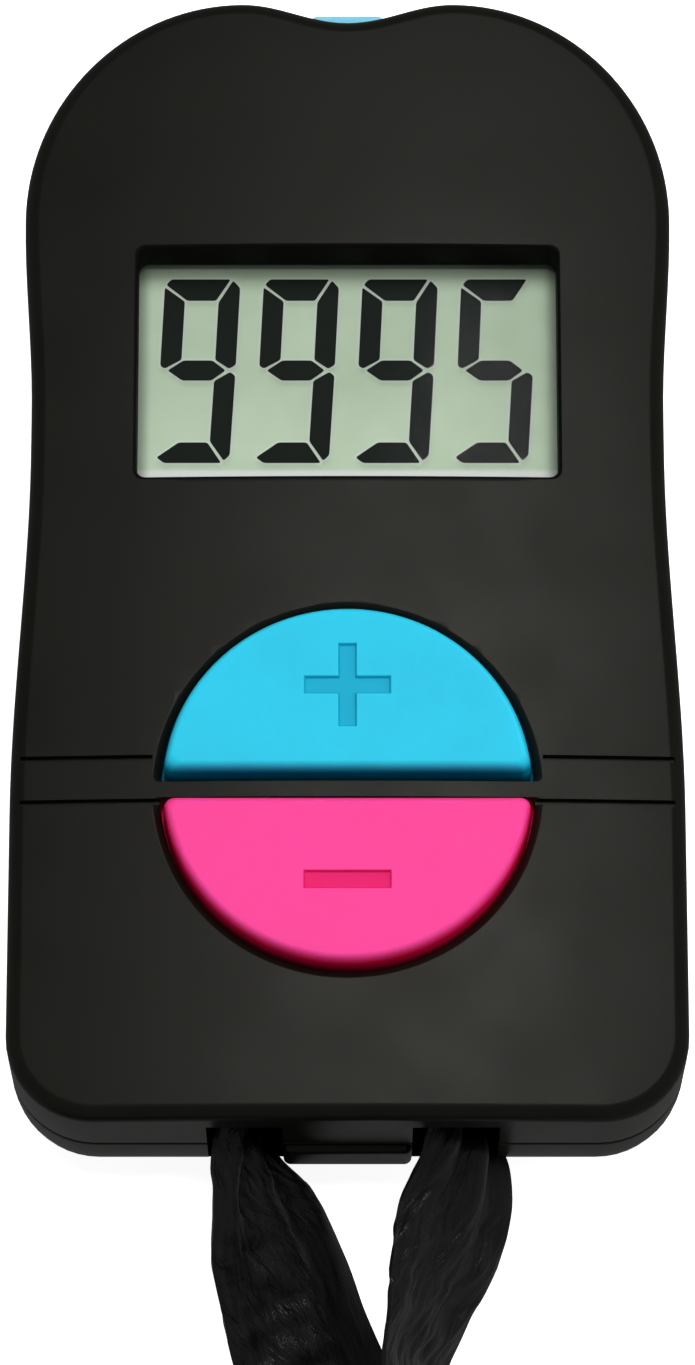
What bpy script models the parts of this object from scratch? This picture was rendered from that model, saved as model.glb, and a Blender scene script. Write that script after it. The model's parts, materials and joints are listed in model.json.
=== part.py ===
"""Hand tally counter: display, add and subtract keys, reset key and a neck ribbon.

Metres. The counter lies on its flat back: +Z comes out of the front face and +Y points to the
end with the reset key. The origin is under the middle of the case, on its back.
"""
import math

import bmesh
import bpy
from mathutils import Matrix, Vector

MM = 0.001

# ---- case outline -------------------------------------------------------------------------
TOP_Y = 38.3 * MM                 # highest point of the two shoulders
BOTTOM_Y = -37.4 * MM             # end wall at the ribbon's end
NOTCH_HALF = 7.0 * MM             # the notch for the reset key is a cosine wave this wide
NOTCH_DEPTH = 1.35 * MM
SHOULDER_HALF = 21.1 * MM
SHOULDER_Y = 23.3 * MM
WAIST_HALF = 20.5 * MM
WAIST_TOP_Y = 10.0 * MM
WAIST_BOTTOM_Y = 7.0 * MM
HIP_HALF = 21.5 * MM
HIP_Y = -17.0 * MM
CORNER_R = 5.6 * MM

# ---- case heights -------------------------------------------------------------------------
FACE_Z = 17.0 * MM                # front face on the centre line
CROWN_DROP = 0.65 * MM            # how far the face falls at CROWN_HALF
CROWN_HALF = 20.0 * MM
WALL = 1.8 * MM
EDGE_R = 1.0 * MM
REAR_RIM_Z = 9.7 * MM
FRONT_RIM_Z = 10.0 * MM
REAR_STRAIGHT_Z = 7.5 * MM        # below this the rear cover rounds in to its flat back
REAR_INSET = 5.0 * MM
LIP_TOP_Z = 11.2 * MM             # the rear cover's lip sits inside the front shell
LIP_INSET = 2.1 * MM
LIP_WALL = 0.7 * MM

# ---- display ------------------------------------------------------------------------------
WINDOW_HALF = 13.65 * MM
WINDOW_LOW_Y = 5.05 * MM
WINDOW_HIGH_Y = 20.85 * MM
WINDOW_CORNER_R = 0.65 * MM
WINDOW_CHAMFER = 0.3 * MM
SKIRT_WALL = 1.2 * MM
LENS_TOP_Z = 13.55 * MM
LENS_THICK = 0.8 * MM

# ---- keys ---------------------------------------------------------------------------------
KEY_Y = -16.0 * MM                # middle of the bar between the two half-moons
KEY_TOP_R = 11.2 * MM
KEY_BASE_R = 11.75 * MM
KEY_TOP_FLAT = 1.4 * MM           # the straight edge's distance from KEY_Y, on top
KEY_BASE_FLAT = 0.8 * MM
KEY_TOP_Z = 18.6 * MM
KEY_FLANGE_R = 12.8 * MM
KEY_FLANGE_FLAT = 0.35 * MM
KEY_FLANGE_Z = (13.7 * MM, 14.6 * MM)
OPENING_R = 12.05 * MM
OPENING_FLARE = 0.55 * MM
OPENING_FLARE_DEPTH = 1.3 * MM
BAR_HALF = 0.55 * MM
SYMBOL_OFFSET = 6.4 * MM          # from KEY_Y to a symbol, a dome and a contact pill
SYMBOL_LENGTH = 5.4 * MM
SYMBOL_WIDTH = 1.05 * MM
SYMBOL_DEPTH = 0.35 * MM
STEM_R = 2.2 * MM
STEM_Z = 13.8 * MM

GROOVE_WIDTH = 0.28 * MM
GROOVE_DEPTH = 0.3 * MM
GROOVES = ((-13.9 * MM, 12.4 * MM), (-16.8 * MM, 11.9 * MM))   # y, inner end
GROOVE_OUTER = 20.8 * MM

# ---- reset key ----------------------------------------------------------------------------
RESET_HALF = 2.65 * MM
RESET_Z = (8.4 * MM, 14.6 * MM)
RESET_TIP_Y = 38.4 * MM
RESET_FLANGE_Y = (33.5 * MM, 34.6 * MM)
RESET_GAP = 0.3 * MM

# ---- neck ribbon --------------------------------------------------------------------------
LANYARD_BAR_HALF = 4.1 * MM
LANYARD_BAR_Y = -37.9 * MM
LANYARD_BAR_Z = (5.9 * MM, 9.5 * MM)
SLOT_OUTER = 9.6 * MM
SLOT_Z = (4.5 * MM, 14.3 * MM)
PARTITION_Y = -31.6 * MM
RIBBON_R = 1.5 * MM
COIL_CENTRE = (-25.0 * MM, -103.5 * MM)
COIL_INNER = 38.0 * MM
COIL_OUTER = 48.3 * MM
COIL_Z = (0.1 * MM, 10.2 * MM)
RIBBON_ROUTE = (
    (18.9, -79.6, 5.1), (16.9, -75.8, 5.1), (13.6, -71.6, 4.5), (9.6, -67.2, 3.7),
    (5.0, -62.0, 2.9), (1.2, -56.8, 2.3), (-2.0, -51.5, 2.3), (-4.4, -47.0, 3.4),
    (-6.0, -43.0, 5.1), (-6.7, -40.0, 6.7), (-6.7, -37.2, 7.4), (-6.0, -35.0, 7.5),
    (-4.0, -33.9, 7.5), (0.0, -33.8, 7.5), (4.0, -33.9, 7.5), (6.0, -35.0, 7.5),
    (6.9, -37.2, 7.4), (7.3, -40.0, 6.9), (7.0, -43.5, 6.0), (6.2, -47.0, 5.3),
    (5.6, -51.5, 5.0), (6.4, -56.5, 5.0), (9.0, -62.0, 5.1), (12.6, -67.5, 5.1),
    (16.4, -73.2, 5.1), (19.6, -79.4, 5.1), (22.2, -87.6, 5.1),
)

# ---- inside -------------------------------------------------------------------------------
BOARD_Z = (8.0 * MM, 9.2 * MM)
BOARD_HALF = 17.0 * MM
BOARD_Y = (-25.0 * MM, 25.0 * MM)
TONGUE_HALF = 7.5 * MM
TONGUE_Y = 31.5 * MM
CASE_SCREWS = ((12.0 * MM, 28.6 * MM), (-12.0 * MM, 28.6 * MM),
               (13.8 * MM, -29.8 * MM), (-13.8 * MM, -29.8 * MM))
BOARD_SCREWS = ((15.0 * MM, -1.0 * MM), (-15.0 * MM, -1.0 * MM),
                (14.8 * MM, -22.6 * MM), (-14.8 * MM, -22.6 * MM))
DOOR_SCREW = (0.0, -23.2 * MM)
CELL_Y = -14.0 * MM
CELL_R = 5.8 * MM
CELL_Z = (1.5 * MM, 6.9 * MM)
DOOR_HALF = 9.0 * MM
DOOR_Y = (-25.1 * MM, -7.0 * MM)
DOOR_THICK = 1.2 * MM

# ---- colours (sRGB, 0-255) with roughness and metallic -------------------------------------
FINISHES = {
    "case": ((44, 44, 43), 0.55, 0.0),
    "plus": ((62, 200, 232), 0.4, 0.0),
    "minus": ((254, 78, 159), 0.4, 0.0),
    "reset": ((150, 215, 232), 0.4, 0.0),
    "clear": ((225, 230, 228), 0.05, 0.0),
    "glass": ((200, 210, 200), 0.05, 0.0),
    "grey": ((150, 165, 150), 0.35, 0.0),
    "silver": ((190, 190, 185), 0.3, 1.0),
    "steel": ((165, 165, 165), 0.3, 1.0),
    "board": ((30, 95, 60), 0.45, 0.0),
    "epoxy": ((18, 18, 18), 0.3, 0.0),
    "rubber": ((60, 62, 64), 0.7, 0.0),
    "carbon": ((22, 22, 22), 0.8, 0.0),
    "brown": ((150, 110, 75), 0.5, 0.0),
    "ribbon": ((14, 14, 15), 0.45, 0.0),
}


# ---- scene helpers ------------------------------------------------------------------------
def clear_scene():
    for obj in list(bpy.data.objects):
        bpy.data.objects.remove(obj, do_unlink=True)


def make_collection(name):
    collection = bpy.data.collections.new(name)
    bpy.context.scene.collection.children.link(collection)
    return collection


def linear(value):
    share = value / 255.0
    return share / 12.92 if share <= 0.04045 else ((share + 0.055) / 1.055) ** 2.4


def finish(obj, kind):
    """Give the object a material of its own and put it with the parts."""
    colour, roughness, metallic = FINISHES[kind]
    material = bpy.data.materials.new(obj.name)
    material.use_nodes = True
    shader = material.node_tree.nodes["Principled BSDF"]
    shader.inputs["Base Color"].default_value = (*[linear(value) for value in colour], 1.0)
    shader.inputs["Roughness"].default_value = roughness
    shader.inputs["Metallic"].default_value = metallic
    obj.data.materials.clear()
    obj.data.materials.append(material)
    PARTS.objects.link(obj)
    return obj


def as_cutter(obj):
    """Keep a shape that only cuts, or is joined to, another one."""
    obj.hide_render = True
    obj.display_type = "WIRE"
    CUTTERS.objects.link(obj)
    return obj


def boolean(obj, operation, tool):
    modifier = obj.modifiers.new(tool.name, "BOOLEAN")
    modifier.operation = operation
    modifier.solver = "EXACT"
    modifier.object = tool


def join(obj, tool):
    boolean(obj, "UNION", as_cutter(tool))


def cut(obj, tool):
    boolean(obj, "DIFFERENCE", as_cutter(tool))


def from_bmesh(name, mesh_data, smooth_angle=35.0):
    bmesh.ops.recalc_face_normals(mesh_data, faces=mesh_data.faces)
    mesh = bpy.data.meshes.new(name)
    mesh_data.to_mesh(mesh)
    mesh_data.free()
    mesh.shade_smooth()
    mesh.set_sharp_from_angle(angle=math.radians(smooth_angle))
    return bpy.data.objects.new(name, mesh)


# ---- shapes -------------------------------------------------------------------------------
def add_box(mesh_data, low, high):
    size = [high[i] - low[i] for i in range(3)]
    middle = Vector([(high[i] + low[i]) / 2.0 for i in range(3)])
    matrix = Matrix.Translation(middle) @ Matrix.Diagonal((*size, 1.0))
    bmesh.ops.create_cube(mesh_data, size=1.0, matrix=matrix)


def box(name, low, high, round_edges=0.0, segments=2):
    mesh_data = bmesh.new()
    add_box(mesh_data, low, high)
    if round_edges:
        bmesh.ops.bevel(mesh_data, geom=mesh_data.edges[:], offset=round_edges,
                        segments=segments, profile=0.5, affect="EDGES")
    return from_bmesh(name, mesh_data)


def boxes(name, corner_pairs):
    """Several boxes that don't touch each other, as one object."""
    mesh_data = bmesh.new()
    for low, high in corner_pairs:
        add_box(mesh_data, low, high)
    return from_bmesh(name, mesh_data)


def pins(name, places, radius, low_z, high_z, sides=16):
    """Upright cylinders at each place, as one object."""
    mesh_data = bmesh.new()
    for x, y in places:
        matrix = Matrix.Translation((x, y, (low_z + high_z) / 2.0))
        bmesh.ops.create_cone(mesh_data, cap_ends=True, segments=sides, radius1=radius,
                              radius2=radius, depth=high_z - low_z, matrix=matrix)
    return from_bmesh(name, mesh_data)


def loft(name, rings, smooth_angle=35.0):
    """A solid through rings of points, closed by a flat face at each end."""
    mesh_data = bmesh.new()
    rows = [[mesh_data.verts.new(point) for point in ring] for ring in rings]
    count = len(rows[0])
    for lower, upper in zip(rows, rows[1:]):
        for i in range(count):
            j = (i + 1) % count
            mesh_data.faces.new((lower[i], lower[j], upper[j], upper[i]))
    mesh_data.faces.new(rows[0])
    mesh_data.faces.new(rows[-1])
    return from_bmesh(name, mesh_data, smooth_angle)


def prism(name, outline, low_z, high_z):
    """A flat outline, filled and given thickness as a 2D curve."""
    curve = bpy.data.curves.new(name + "_outline", "CURVE")
    curve.dimensions = "2D"
    curve.fill_mode = "BOTH"
    curve.extrude = (high_z - low_z) / 2.0
    spline = curve.splines.new("POLY")
    spline.points.add(len(outline) - 1)
    for point, (x, y) in zip(spline.points, outline):
        point.co = (x, y, 0.0, 1.0)
    spline.use_cyclic_u = True
    guide = bpy.data.objects.new(name + "_outline", curve)
    guide.location.z = (high_z + low_z) / 2.0
    bpy.context.scene.collection.objects.link(guide)
    bpy.context.view_layer.update()
    graph = bpy.context.evaluated_depsgraph_get()
    mesh_data = bmesh.new()
    mesh_data.from_mesh(bpy.data.meshes.new_from_object(guide.evaluated_get(graph)))
    mesh_data.transform(guide.matrix_world)
    bmesh.ops.remove_doubles(mesh_data, verts=mesh_data.verts, dist=1e-7)
    bpy.data.objects.remove(guide, do_unlink=True)
    return from_bmesh(name, mesh_data)


def side_prism(name, outline, low_y, high_y):
    """A prism whose outline lies in the XZ plane and whose thickness runs along Y."""
    obj = prism(name, outline, -high_y, -low_y)
    obj.data.transform(Matrix.Rotation(math.radians(90.0), 4, "X"))
    return obj


def turned(name, profile, location=(0.0, 0.0, 0.0), steps=20):
    """A profile of (radius, height), outer side from top to bottom, turned about +Z."""
    mesh = bpy.data.meshes.new(name)
    points = [(radius, 0.0, height) for radius, height in profile]
    mesh.from_pydata(points, [(i, i + 1) for i in range(len(points) - 1)], [])
    obj = bpy.data.objects.new(name, mesh)
    obj.location = location
    screw = obj.modifiers.new("turn", "SCREW")
    screw.steps = steps
    screw.render_steps = steps
    screw.use_merge_vertices = True
    screw.merge_threshold = 0.00001
    screw.use_smooth_shade = True
    return obj


def rounded_rectangle(low, high, radius, steps=3):
    """Corner points of a rectangle in XY with rounded corners, anticlockwise."""
    points = []
    corners = ((high[0] - radius, high[1] - radius, 0.0), (low[0] + radius, high[1] - radius, 90.0),
               (low[0] + radius, low[1] + radius, 180.0), (high[0] - radius, low[1] + radius, 270.0))
    for x, y, start in corners:
        for step in range(steps + 1):
            angle = math.radians(start + 90.0 * step / steps)
            points.append((x + radius * math.cos(angle), y + radius * math.sin(angle)))
    return points


def smooth_step(share):
    share = min(max(share, 0.0), 1.0)
    return share * share * (3.0 - 2.0 * share)


# ---- case outline -------------------------------------------------------------------------
def side_half_width(y):
    """Half width of the case between the shoulders and the hips."""
    if y > WAIST_BOTTOM_Y:
        rise = smooth_step((y - WAIST_TOP_Y) / (SHOULDER_Y - WAIST_TOP_Y))
        return WAIST_HALF + (SHOULDER_HALF - WAIST_HALF) * rise
    rise = smooth_step((WAIST_BOTTOM_Y - y) / (WAIST_BOTTOM_Y - HIP_Y))
    return WAIST_HALF + (HIP_HALF - WAIST_HALF) * rise


def right_side(notch_steps=6, shoulder_steps=9, waist_steps=7, corner_steps=5):
    """The outline's right half, from the notch round to the middle of the bottom end."""
    points = []
    for i in range(notch_steps):
        x = NOTCH_HALF * i / notch_steps
        wave = (1.0 + math.cos(math.pi * x / NOTCH_HALF)) / 2.0
        points.append((x, TOP_Y - NOTCH_DEPTH * wave))
    for i in range(shoulder_steps + 1):
        angle = math.radians(90.0 - 90.0 * i / shoulder_steps)
        points.append((NOTCH_HALF + (SHOULDER_HALF - NOTCH_HALF) * math.cos(angle),
                       SHOULDER_Y + (TOP_Y - SHOULDER_Y) * math.sin(angle)))
    for i in range(1, waist_steps + 1):
        y = SHOULDER_Y + (HIP_Y - SHOULDER_Y) * i / waist_steps
        points.append((side_half_width(y), y))
    for i in range(corner_steps + 1):
        angle = math.radians(-90.0 * i / corner_steps)
        points.append((HIP_HALF - CORNER_R + CORNER_R * math.cos(angle),
                       BOTTOM_Y + CORNER_R + CORNER_R * math.sin(angle)))
    points.append((SLOT_OUTER, BOTTOM_Y))
    points.append((0.0, BOTTOM_Y))
    return points


def case_outline(inset=0.0):
    """The closed outline, moved inwards by inset: right half down, then left half up."""
    half = right_side()
    loop = half + [(-x, y) for x, y in reversed(half[1:-1])]
    moved = []
    for i, (x, y) in enumerate(loop):
        before = loop[i - 1]
        after = loop[(i + 1) % len(loop)]
        along = Vector((after[0] - before[0], after[1] - before[1])).normalized()
        moved.append((x + along.y * inset, y - along.x * inset))
    return moved


def face_z(x):
    """Height of the crowned front face."""
    return FACE_Z - CROWN_DROP * (x / CROWN_HALF) ** 2


def spine_y(outline, index):
    """Where the row of faces that starts at an outline point meets the centre line."""
    bottom = len(outline) // 2
    row = min(index, len(outline) - index)
    ends = (0, next(i for i in range(bottom) if outline[i][1] < outline[0][1] - 3.0 * MM))
    if row > ends[1]:
        first = next(i for i in range(bottom) if outline[i][1] < outline[bottom][1] + 2.5 * MM)
        ends = (first, bottom)
    if not ends[0] <= row <= ends[1]:
        return outline[row][1]
    share = (row - ends[0]) / (ends[1] - ends[0])
    return outline[ends[0]][1] + (outline[ends[1]][1] - outline[ends[0]][1]) * share


def skin(rings):
    """An open surface through rings of points, from its rim to its middle."""
    mesh_data = bmesh.new()
    rows = [[mesh_data.verts.new(point) for point in ring] for ring in rings]
    count = len(rows[0])
    for outer, inner in zip(rows, rows[1:]):
        for i in range(count):
            j = (i + 1) % count
            mesh_data.faces.new((outer[i], outer[j], inner[j], inner[i]))
    return mesh_data, rows


def front_skin():
    """Wall and crowned face, with the edge between them marked for rounding."""
    outline = case_outline()
    rings = [[(x, y, FRONT_RIM_Z) for x, y in outline],
             [(x, y, face_z(x)) for x, y in outline]]
    inner = case_outline(2.0 * WALL)
    for share in (1.0, 0.67, 0.33, 0.0):
        ring = []
        for i, (x, y) in enumerate(inner):
            middle = spine_y(inner, i)
            ring.append((x * share, middle + (y - middle) * share, face_z(x * share)))
        rings.append(ring)
    mesh_data, rows = skin(rings)
    weight = mesh_data.edges.layers.float.new("bevel_weight_edge")
    edge_ring = set(rows[1])
    for edge in mesh_data.edges:
        if edge.verts[0] in edge_ring and edge.verts[1] in edge_ring:
            edge[weight] = 1.0
    bmesh.ops.remove_doubles(mesh_data, verts=mesh_data.verts, dist=1e-6)
    return from_bmesh("front_shell", mesh_data)


def rounded_side(inset, reach, top_z, base_z, steps=3):
    """Section points of a quarter ellipse, from a flat bottom up to a straight wall."""
    points = []
    for i in range(steps + 1):
        angle = math.pi / 2.0 * (1.0 - i / steps)
        points.append((inset + reach * (1.0 - math.cos(angle)),
                       base_z + (top_z - base_z) * (1.0 - math.sin(angle))))
    return points


def rear_shell_solid():
    """The rear cover's wall as one section taken round the outline, with its inner lip."""
    section = rounded_side(0.0, REAR_INSET, REAR_STRAIGHT_Z, 0.0)
    section += [(0.0, REAR_RIM_Z), (LIP_INSET, REAR_RIM_Z), (LIP_INSET, LIP_TOP_Z),
                (LIP_INSET + LIP_WALL, LIP_TOP_Z), (LIP_INSET + LIP_WALL, 8.8 * MM)]
    section += reversed(rounded_side(WALL, REAR_INSET - WALL, REAR_STRAIGHT_Z, WALL))
    rings = [[(x, y, z) for x, y in case_outline(inset)] for inset, z in section]
    mesh_data, rows = skin(rings)
    for row in (rows[0], rows[-1]):
        flat = mesh_data.faces.new(row)
        bmesh.ops.triangulate(mesh_data, faces=[flat])
    return from_bmesh("rear_cover", mesh_data)


def half_moon(radius, flat, corner, side, steps=20):
    """A half disc about KEY_Y on one side of the bar, anticlockwise, with rounded corners."""
    reach = math.sqrt((radius - corner) ** 2 - (flat + corner) ** 2)
    tilt = math.atan2(flat + corner, reach)
    points = []
    for i in range(4):
        angle = -math.pi / 2.0 + (math.pi / 2.0 + tilt) * i / 4.0
        points.append((reach + corner * math.cos(angle), flat + corner + corner * math.sin(angle)))
    for i in range(steps + 1):
        angle = tilt + (math.pi - 2.0 * tilt) * i / steps
        points.append((radius * math.cos(angle), radius * math.sin(angle)))
    for i in range(1, 5):
        angle = math.pi - tilt + (math.pi / 2.0 + tilt) * i / 4.0
        points.append((-reach + corner * math.cos(angle), flat + corner + corner * math.sin(angle)))
    if side < 0:
        points = [(-x, -y) for x, y in points]
    return [(x, KEY_Y + y) for x, y in points]


def half_moon_loft(name, side, levels):
    """A solid whose levels are (height, radius, flat, corner)."""
    rings = [[(x, y, z) for x, y in half_moon(radius, flat, corner, side)]
             for z, radius, flat, corner in levels]
    return loft(name, rings)


# ---- case ---------------------------------------------------------------------------------
def slot_boxes(name):
    """The two slots in the end wall that the ribbon passes through."""
    pairs = []
    for side in (-1.0, 1.0):
        xs = sorted((side * LANYARD_BAR_HALF, side * SLOT_OUTER))
        pairs.append(((xs[0], BOTTOM_Y - 3.0 * MM, SLOT_Z[0]), (xs[1], -34.0 * MM, SLOT_Z[1])))
    return boxes(name, pairs)


def reset_opening(name):
    low = (-RESET_HALF - RESET_GAP, 35.0 * MM, RESET_Z[0] - RESET_GAP)
    high = (RESET_HALF + RESET_GAP, 40.0 * MM, RESET_Z[1] + RESET_GAP)
    return box(name, low, high)


def groove(name, y, inner, side):
    """A shallow groove that follows the crown of the face."""
    reach = [inner + (GROOVE_OUTER - inner) * i / 4.0 for i in range(5)]
    outline = [(side * x, face_z(x) - GROOVE_DEPTH) for x in reach]
    outline += [(side * GROOVE_OUTER, FACE_Z + 1.0 * MM), (side * inner, FACE_Z + 1.0 * MM)]
    return side_prism(name, outline, y - GROOVE_WIDTH / 2.0, y + GROOVE_WIDTH / 2.0)


def make_front_shell():
    obj = front_skin()
    solidify = obj.modifiers.new("wall", "SOLIDIFY")
    solidify.thickness = WALL
    solidify.offset = -1.0
    solidify.use_even_offset = True
    bevel = obj.modifiers.new("edge", "BEVEL")
    bevel.limit_method = "WEIGHT"
    bevel.width = EDGE_R
    bevel.segments = 2
    skirt_low = (-WINDOW_HALF - SKIRT_WALL, WINDOW_LOW_Y - SKIRT_WALL)
    skirt_high = (WINDOW_HALF + SKIRT_WALL, WINDOW_HIGH_Y + SKIRT_WALL)
    join(obj, prism("window_skirt", rounded_rectangle(skirt_low, skirt_high, 1.0 * MM),
                    LENS_TOP_Z + 0.05 * MM, 15.8 * MM))
    join(obj, pins("front_bosses", CASE_SCREWS, 2.4 * MM, 10.2 * MM, 15.6 * MM))
    join(obj, pins("board_bosses", BOARD_SCREWS, 1.9 * MM, 9.5 * MM, 15.6 * MM))
    cut(obj, pins("front_pilots", CASE_SCREWS, 1.2 * MM, 9.0 * MM, 14.6 * MM, 12))
    cut(obj, pins("board_pilots", BOARD_SCREWS, 0.95 * MM, 9.0 * MM, 13.6 * MM, 12))
    window_rings = []
    for z, spread in ((12.0 * MM, 0.0), (16.4 * MM, 0.0), (17.3 * MM, 3.0 * WINDOW_CHAMFER)):
        low = (-WINDOW_HALF - spread, WINDOW_LOW_Y - spread)
        high = (WINDOW_HALF + spread, WINDOW_HIGH_Y + spread)
        corner = WINDOW_CORNER_R + spread
        window_rings.append([(x, y, z) for x, y in rounded_rectangle(low, high, corner)])
    cut(obj, loft("window_opening", window_rings))
    for side, label in ((1, "plus"), (-1, "minus")):
        flare_z = FACE_Z - OPENING_FLARE_DEPTH
        levels = ((13.0 * MM, OPENING_R, BAR_HALF, 0.4 * MM),
                  (flare_z, OPENING_R, BAR_HALF, 0.4 * MM),
                  (FACE_Z + OPENING_FLARE_DEPTH, OPENING_R + 2.0 * OPENING_FLARE, BAR_HALF,
                   0.4 * MM))
        cut(obj, half_moon_loft(label + "_opening", side, levels))
    for number, (y, inner) in enumerate(GROOVES, 1):
        for side in (-1, 1):
            end = "left" if side < 0 else "right"
            cut(obj, groove(f"groove_{number}_{end}", y, inner, side))
    cut(obj, reset_opening("reset_opening_front"))
    cut(obj, slot_boxes("slots_front"))
    return finish(obj, "case")


def make_rear_cover():
    obj = rear_shell_solid()
    join(obj, pins("rear_bosses", CASE_SCREWS, 3.2 * MM, 1.0 * MM, REAR_RIM_Z))
    join(obj, pins("door_boss", (DOOR_SCREW,), 1.9 * MM, 1.5 * MM, 6.0 * MM))
    join(obj, box("cell_well", (-10.4 * MM, -21.8 * MM, 1.5 * MM), (10.4 * MM, -5.9 * MM, 7.3 * MM)))
    join(obj, box("partition", (-10.2 * MM, PARTITION_Y, 1.0 * MM),
                  (10.2 * MM, PARTITION_Y + 1.0 * MM, 14.4 * MM)))
    bar_low = (-LANYARD_BAR_HALF, LANYARD_BAR_Y, LANYARD_BAR_Z[0])
    bar_high = (LANYARD_BAR_HALF, BOTTOM_Y + 1.2 * MM, LANYARD_BAR_Z[1])
    join(obj, box("lanyard_bar", bar_low, bar_high, 0.45 * MM))
    cut(obj, box("well_hollow", (-9.4 * MM, -20.8 * MM, 1.9 * MM), (9.4 * MM, -6.9 * MM, 8.0 * MM)))
    cut(obj, pins("rear_clearances", CASE_SCREWS, 1.25 * MM, -1.0 * MM, 11.0 * MM, 12))
    cut(obj, pins("rear_counterbores", CASE_SCREWS, 2.35 * MM, -1.0 * MM, 3.4 * MM))
    door_low = (-DOOR_HALF - 0.2 * MM, DOOR_Y[0] - 0.2 * MM)
    door_high = (DOOR_HALF + 0.2 * MM, DOOR_Y[1] + 0.2 * MM)
    cut(obj, prism("door_recess", rounded_rectangle(door_low, door_high, 1.7 * MM),
                   -1.0 * MM, DOOR_THICK + 0.1 * MM))
    cut(obj, prism("door_opening",
                   rounded_rectangle((-8.0 * MM, -20.0 * MM), (8.0 * MM, -8.2 * MM), 1.0 * MM),
                   -1.0 * MM, 2.5 * MM))
    cut(obj, pins("door_pilot", (DOOR_SCREW,), 0.95 * MM, 0.5 * MM, 5.2 * MM, 12))
    cut(obj, reset_opening("reset_opening_rear"))
    cut(obj, box("reset_lip_relief", (-4.5 * MM, 31.0 * MM, 7.4 * MM),
                 (4.5 * MM, 35.1 * MM, 12.0 * MM)))
    cut(obj, slot_boxes("slots_rear"))
    cut(obj, box("ribbon_pocket", (-SLOT_OUTER, -35.5 * MM, 4.2 * MM),
                 (SLOT_OUTER, PARTITION_Y - 0.1 * MM, 13.0 * MM)))
    return finish(obj, "case")


def make_battery_door():
    outline = rounded_rectangle((-DOOR_HALF, DOOR_Y[0]), (DOOR_HALF, DOOR_Y[1]), 1.5 * MM, 4)
    obj = prism("battery_door", outline, 0.05 * MM, DOOR_THICK)
    for side in (-1.0, 1.0):
        xs = sorted((side * 5.2 * MM, side * 7.4 * MM))
        label = "left" if side < 0 else "right"
        hook = ((-9.6 * MM, 1.0 * MM), (-8.5 * MM, 1.0 * MM), (-8.5 * MM, 2.1 * MM),
                (-7.3 * MM, 2.1 * MM), (-7.3 * MM, 2.8 * MM), (-9.6 * MM, 2.8 * MM))
        tool = prism("door_hook_" + label, hook, xs[0], xs[1])
        axes = Matrix(((0, 0, 1, 0), (1, 0, 0, 0), (0, 1, 0, 0), (0, 0, 0, 1)))
        tool.data.transform(axes)
        join(obj, tool)
    cut(obj, pins("door_counterbore", (DOOR_SCREW,), 1.75 * MM, -1.0 * MM, 0.9 * MM))
    cut(obj, pins("door_clearance", (DOOR_SCREW,), 1.0 * MM, -1.0 * MM, 3.0 * MM, 12))
    return finish(obj, "case")


def screw_profile(head_r, head_h, shank_r, length):
    """Pan head below, shank above: the head's flat side is at height zero."""
    return ((0.0, length), (shank_r * 0.4, length), (shank_r, length - shank_r),
            (shank_r, 0.0), (head_r, 0.0), (head_r, -head_h * 0.6), (head_r * 0.8, -head_h),
            (0.0, -head_h))


def make_screw(name, place, seat_z, sizes):
    """A screw that points along +Z, with a cross recess in its head."""
    head_r, head_h = sizes[:2]
    obj = turned(name, screw_profile(*sizes), (place[0], place[1], seat_z), steps=12)
    depth = seat_z - head_h
    for label, half_x, half_y in (("a", 0.62, 0.14), ("b", 0.14, 0.62)):
        low = (place[0] - half_x * head_r, place[1] - half_y * head_r, depth - 1.0 * MM)
        high = (place[0] + half_x * head_r, place[1] + half_y * head_r, depth + head_h * 0.5)
        cut(obj, box(f"{name}_recess_{label}", low, high))
    return finish(obj, "steel")


# ---- display ------------------------------------------------------------------------------
def make_display():
    lens = prism("lcd_window", rounded_rectangle((-14.6 * MM, 4.1 * MM), (14.6 * MM, 21.8 * MM),
                                                 1.0 * MM), LENS_TOP_Z - LENS_THICK, LENS_TOP_Z)
    finish(lens, "clear")
    sheets = (
        ("lcd_front_polarizer", 13.9, 4.6, 21.8, 12.5, 12.7, "grey"),
        ("lcd_front_glass", 14.0, 4.1, 21.9, 11.75, 12.45, "glass"),
        ("lcd_rear_glass", 14.0, 6.6, 21.9, 11.0, 11.7, "glass"),
        ("lcd_reflector", 13.8, 6.9, 21.7, 10.75, 10.95, "silver"),
    )
    for name, half, low_y, high_y, low_z, high_z, kind in sheets:
        sheet = box(name, (-half * MM, low_y * MM, low_z * MM), (half * MM, high_y * MM, high_z * MM))
        finish(sheet, kind)
    frame = box("lcd_frame", (-14.9 * MM, 3.2 * MM, 9.25 * MM), (14.9 * MM, 22.7 * MM, 12.65 * MM),
                0.3 * MM, 1)
    cut(frame, box("frame_pocket", (-14.2 * MM, 3.9 * MM, 10.7 * MM),
                   (14.2 * MM, 22.1 * MM, 14.0 * MM)))
    cut(frame, box("frame_hole", (-13.0 * MM, 4.1 * MM, 8.0 * MM), (13.0 * MM, 20.6 * MM, 14.0 * MM)))
    finish(frame, "case")
    strip = box("zebra_strip", (-12.6 * MM, 4.4 * MM, 9.25 * MM), (12.6 * MM, 6.2 * MM, 11.7 * MM))
    finish(strip, "rubber")


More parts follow.
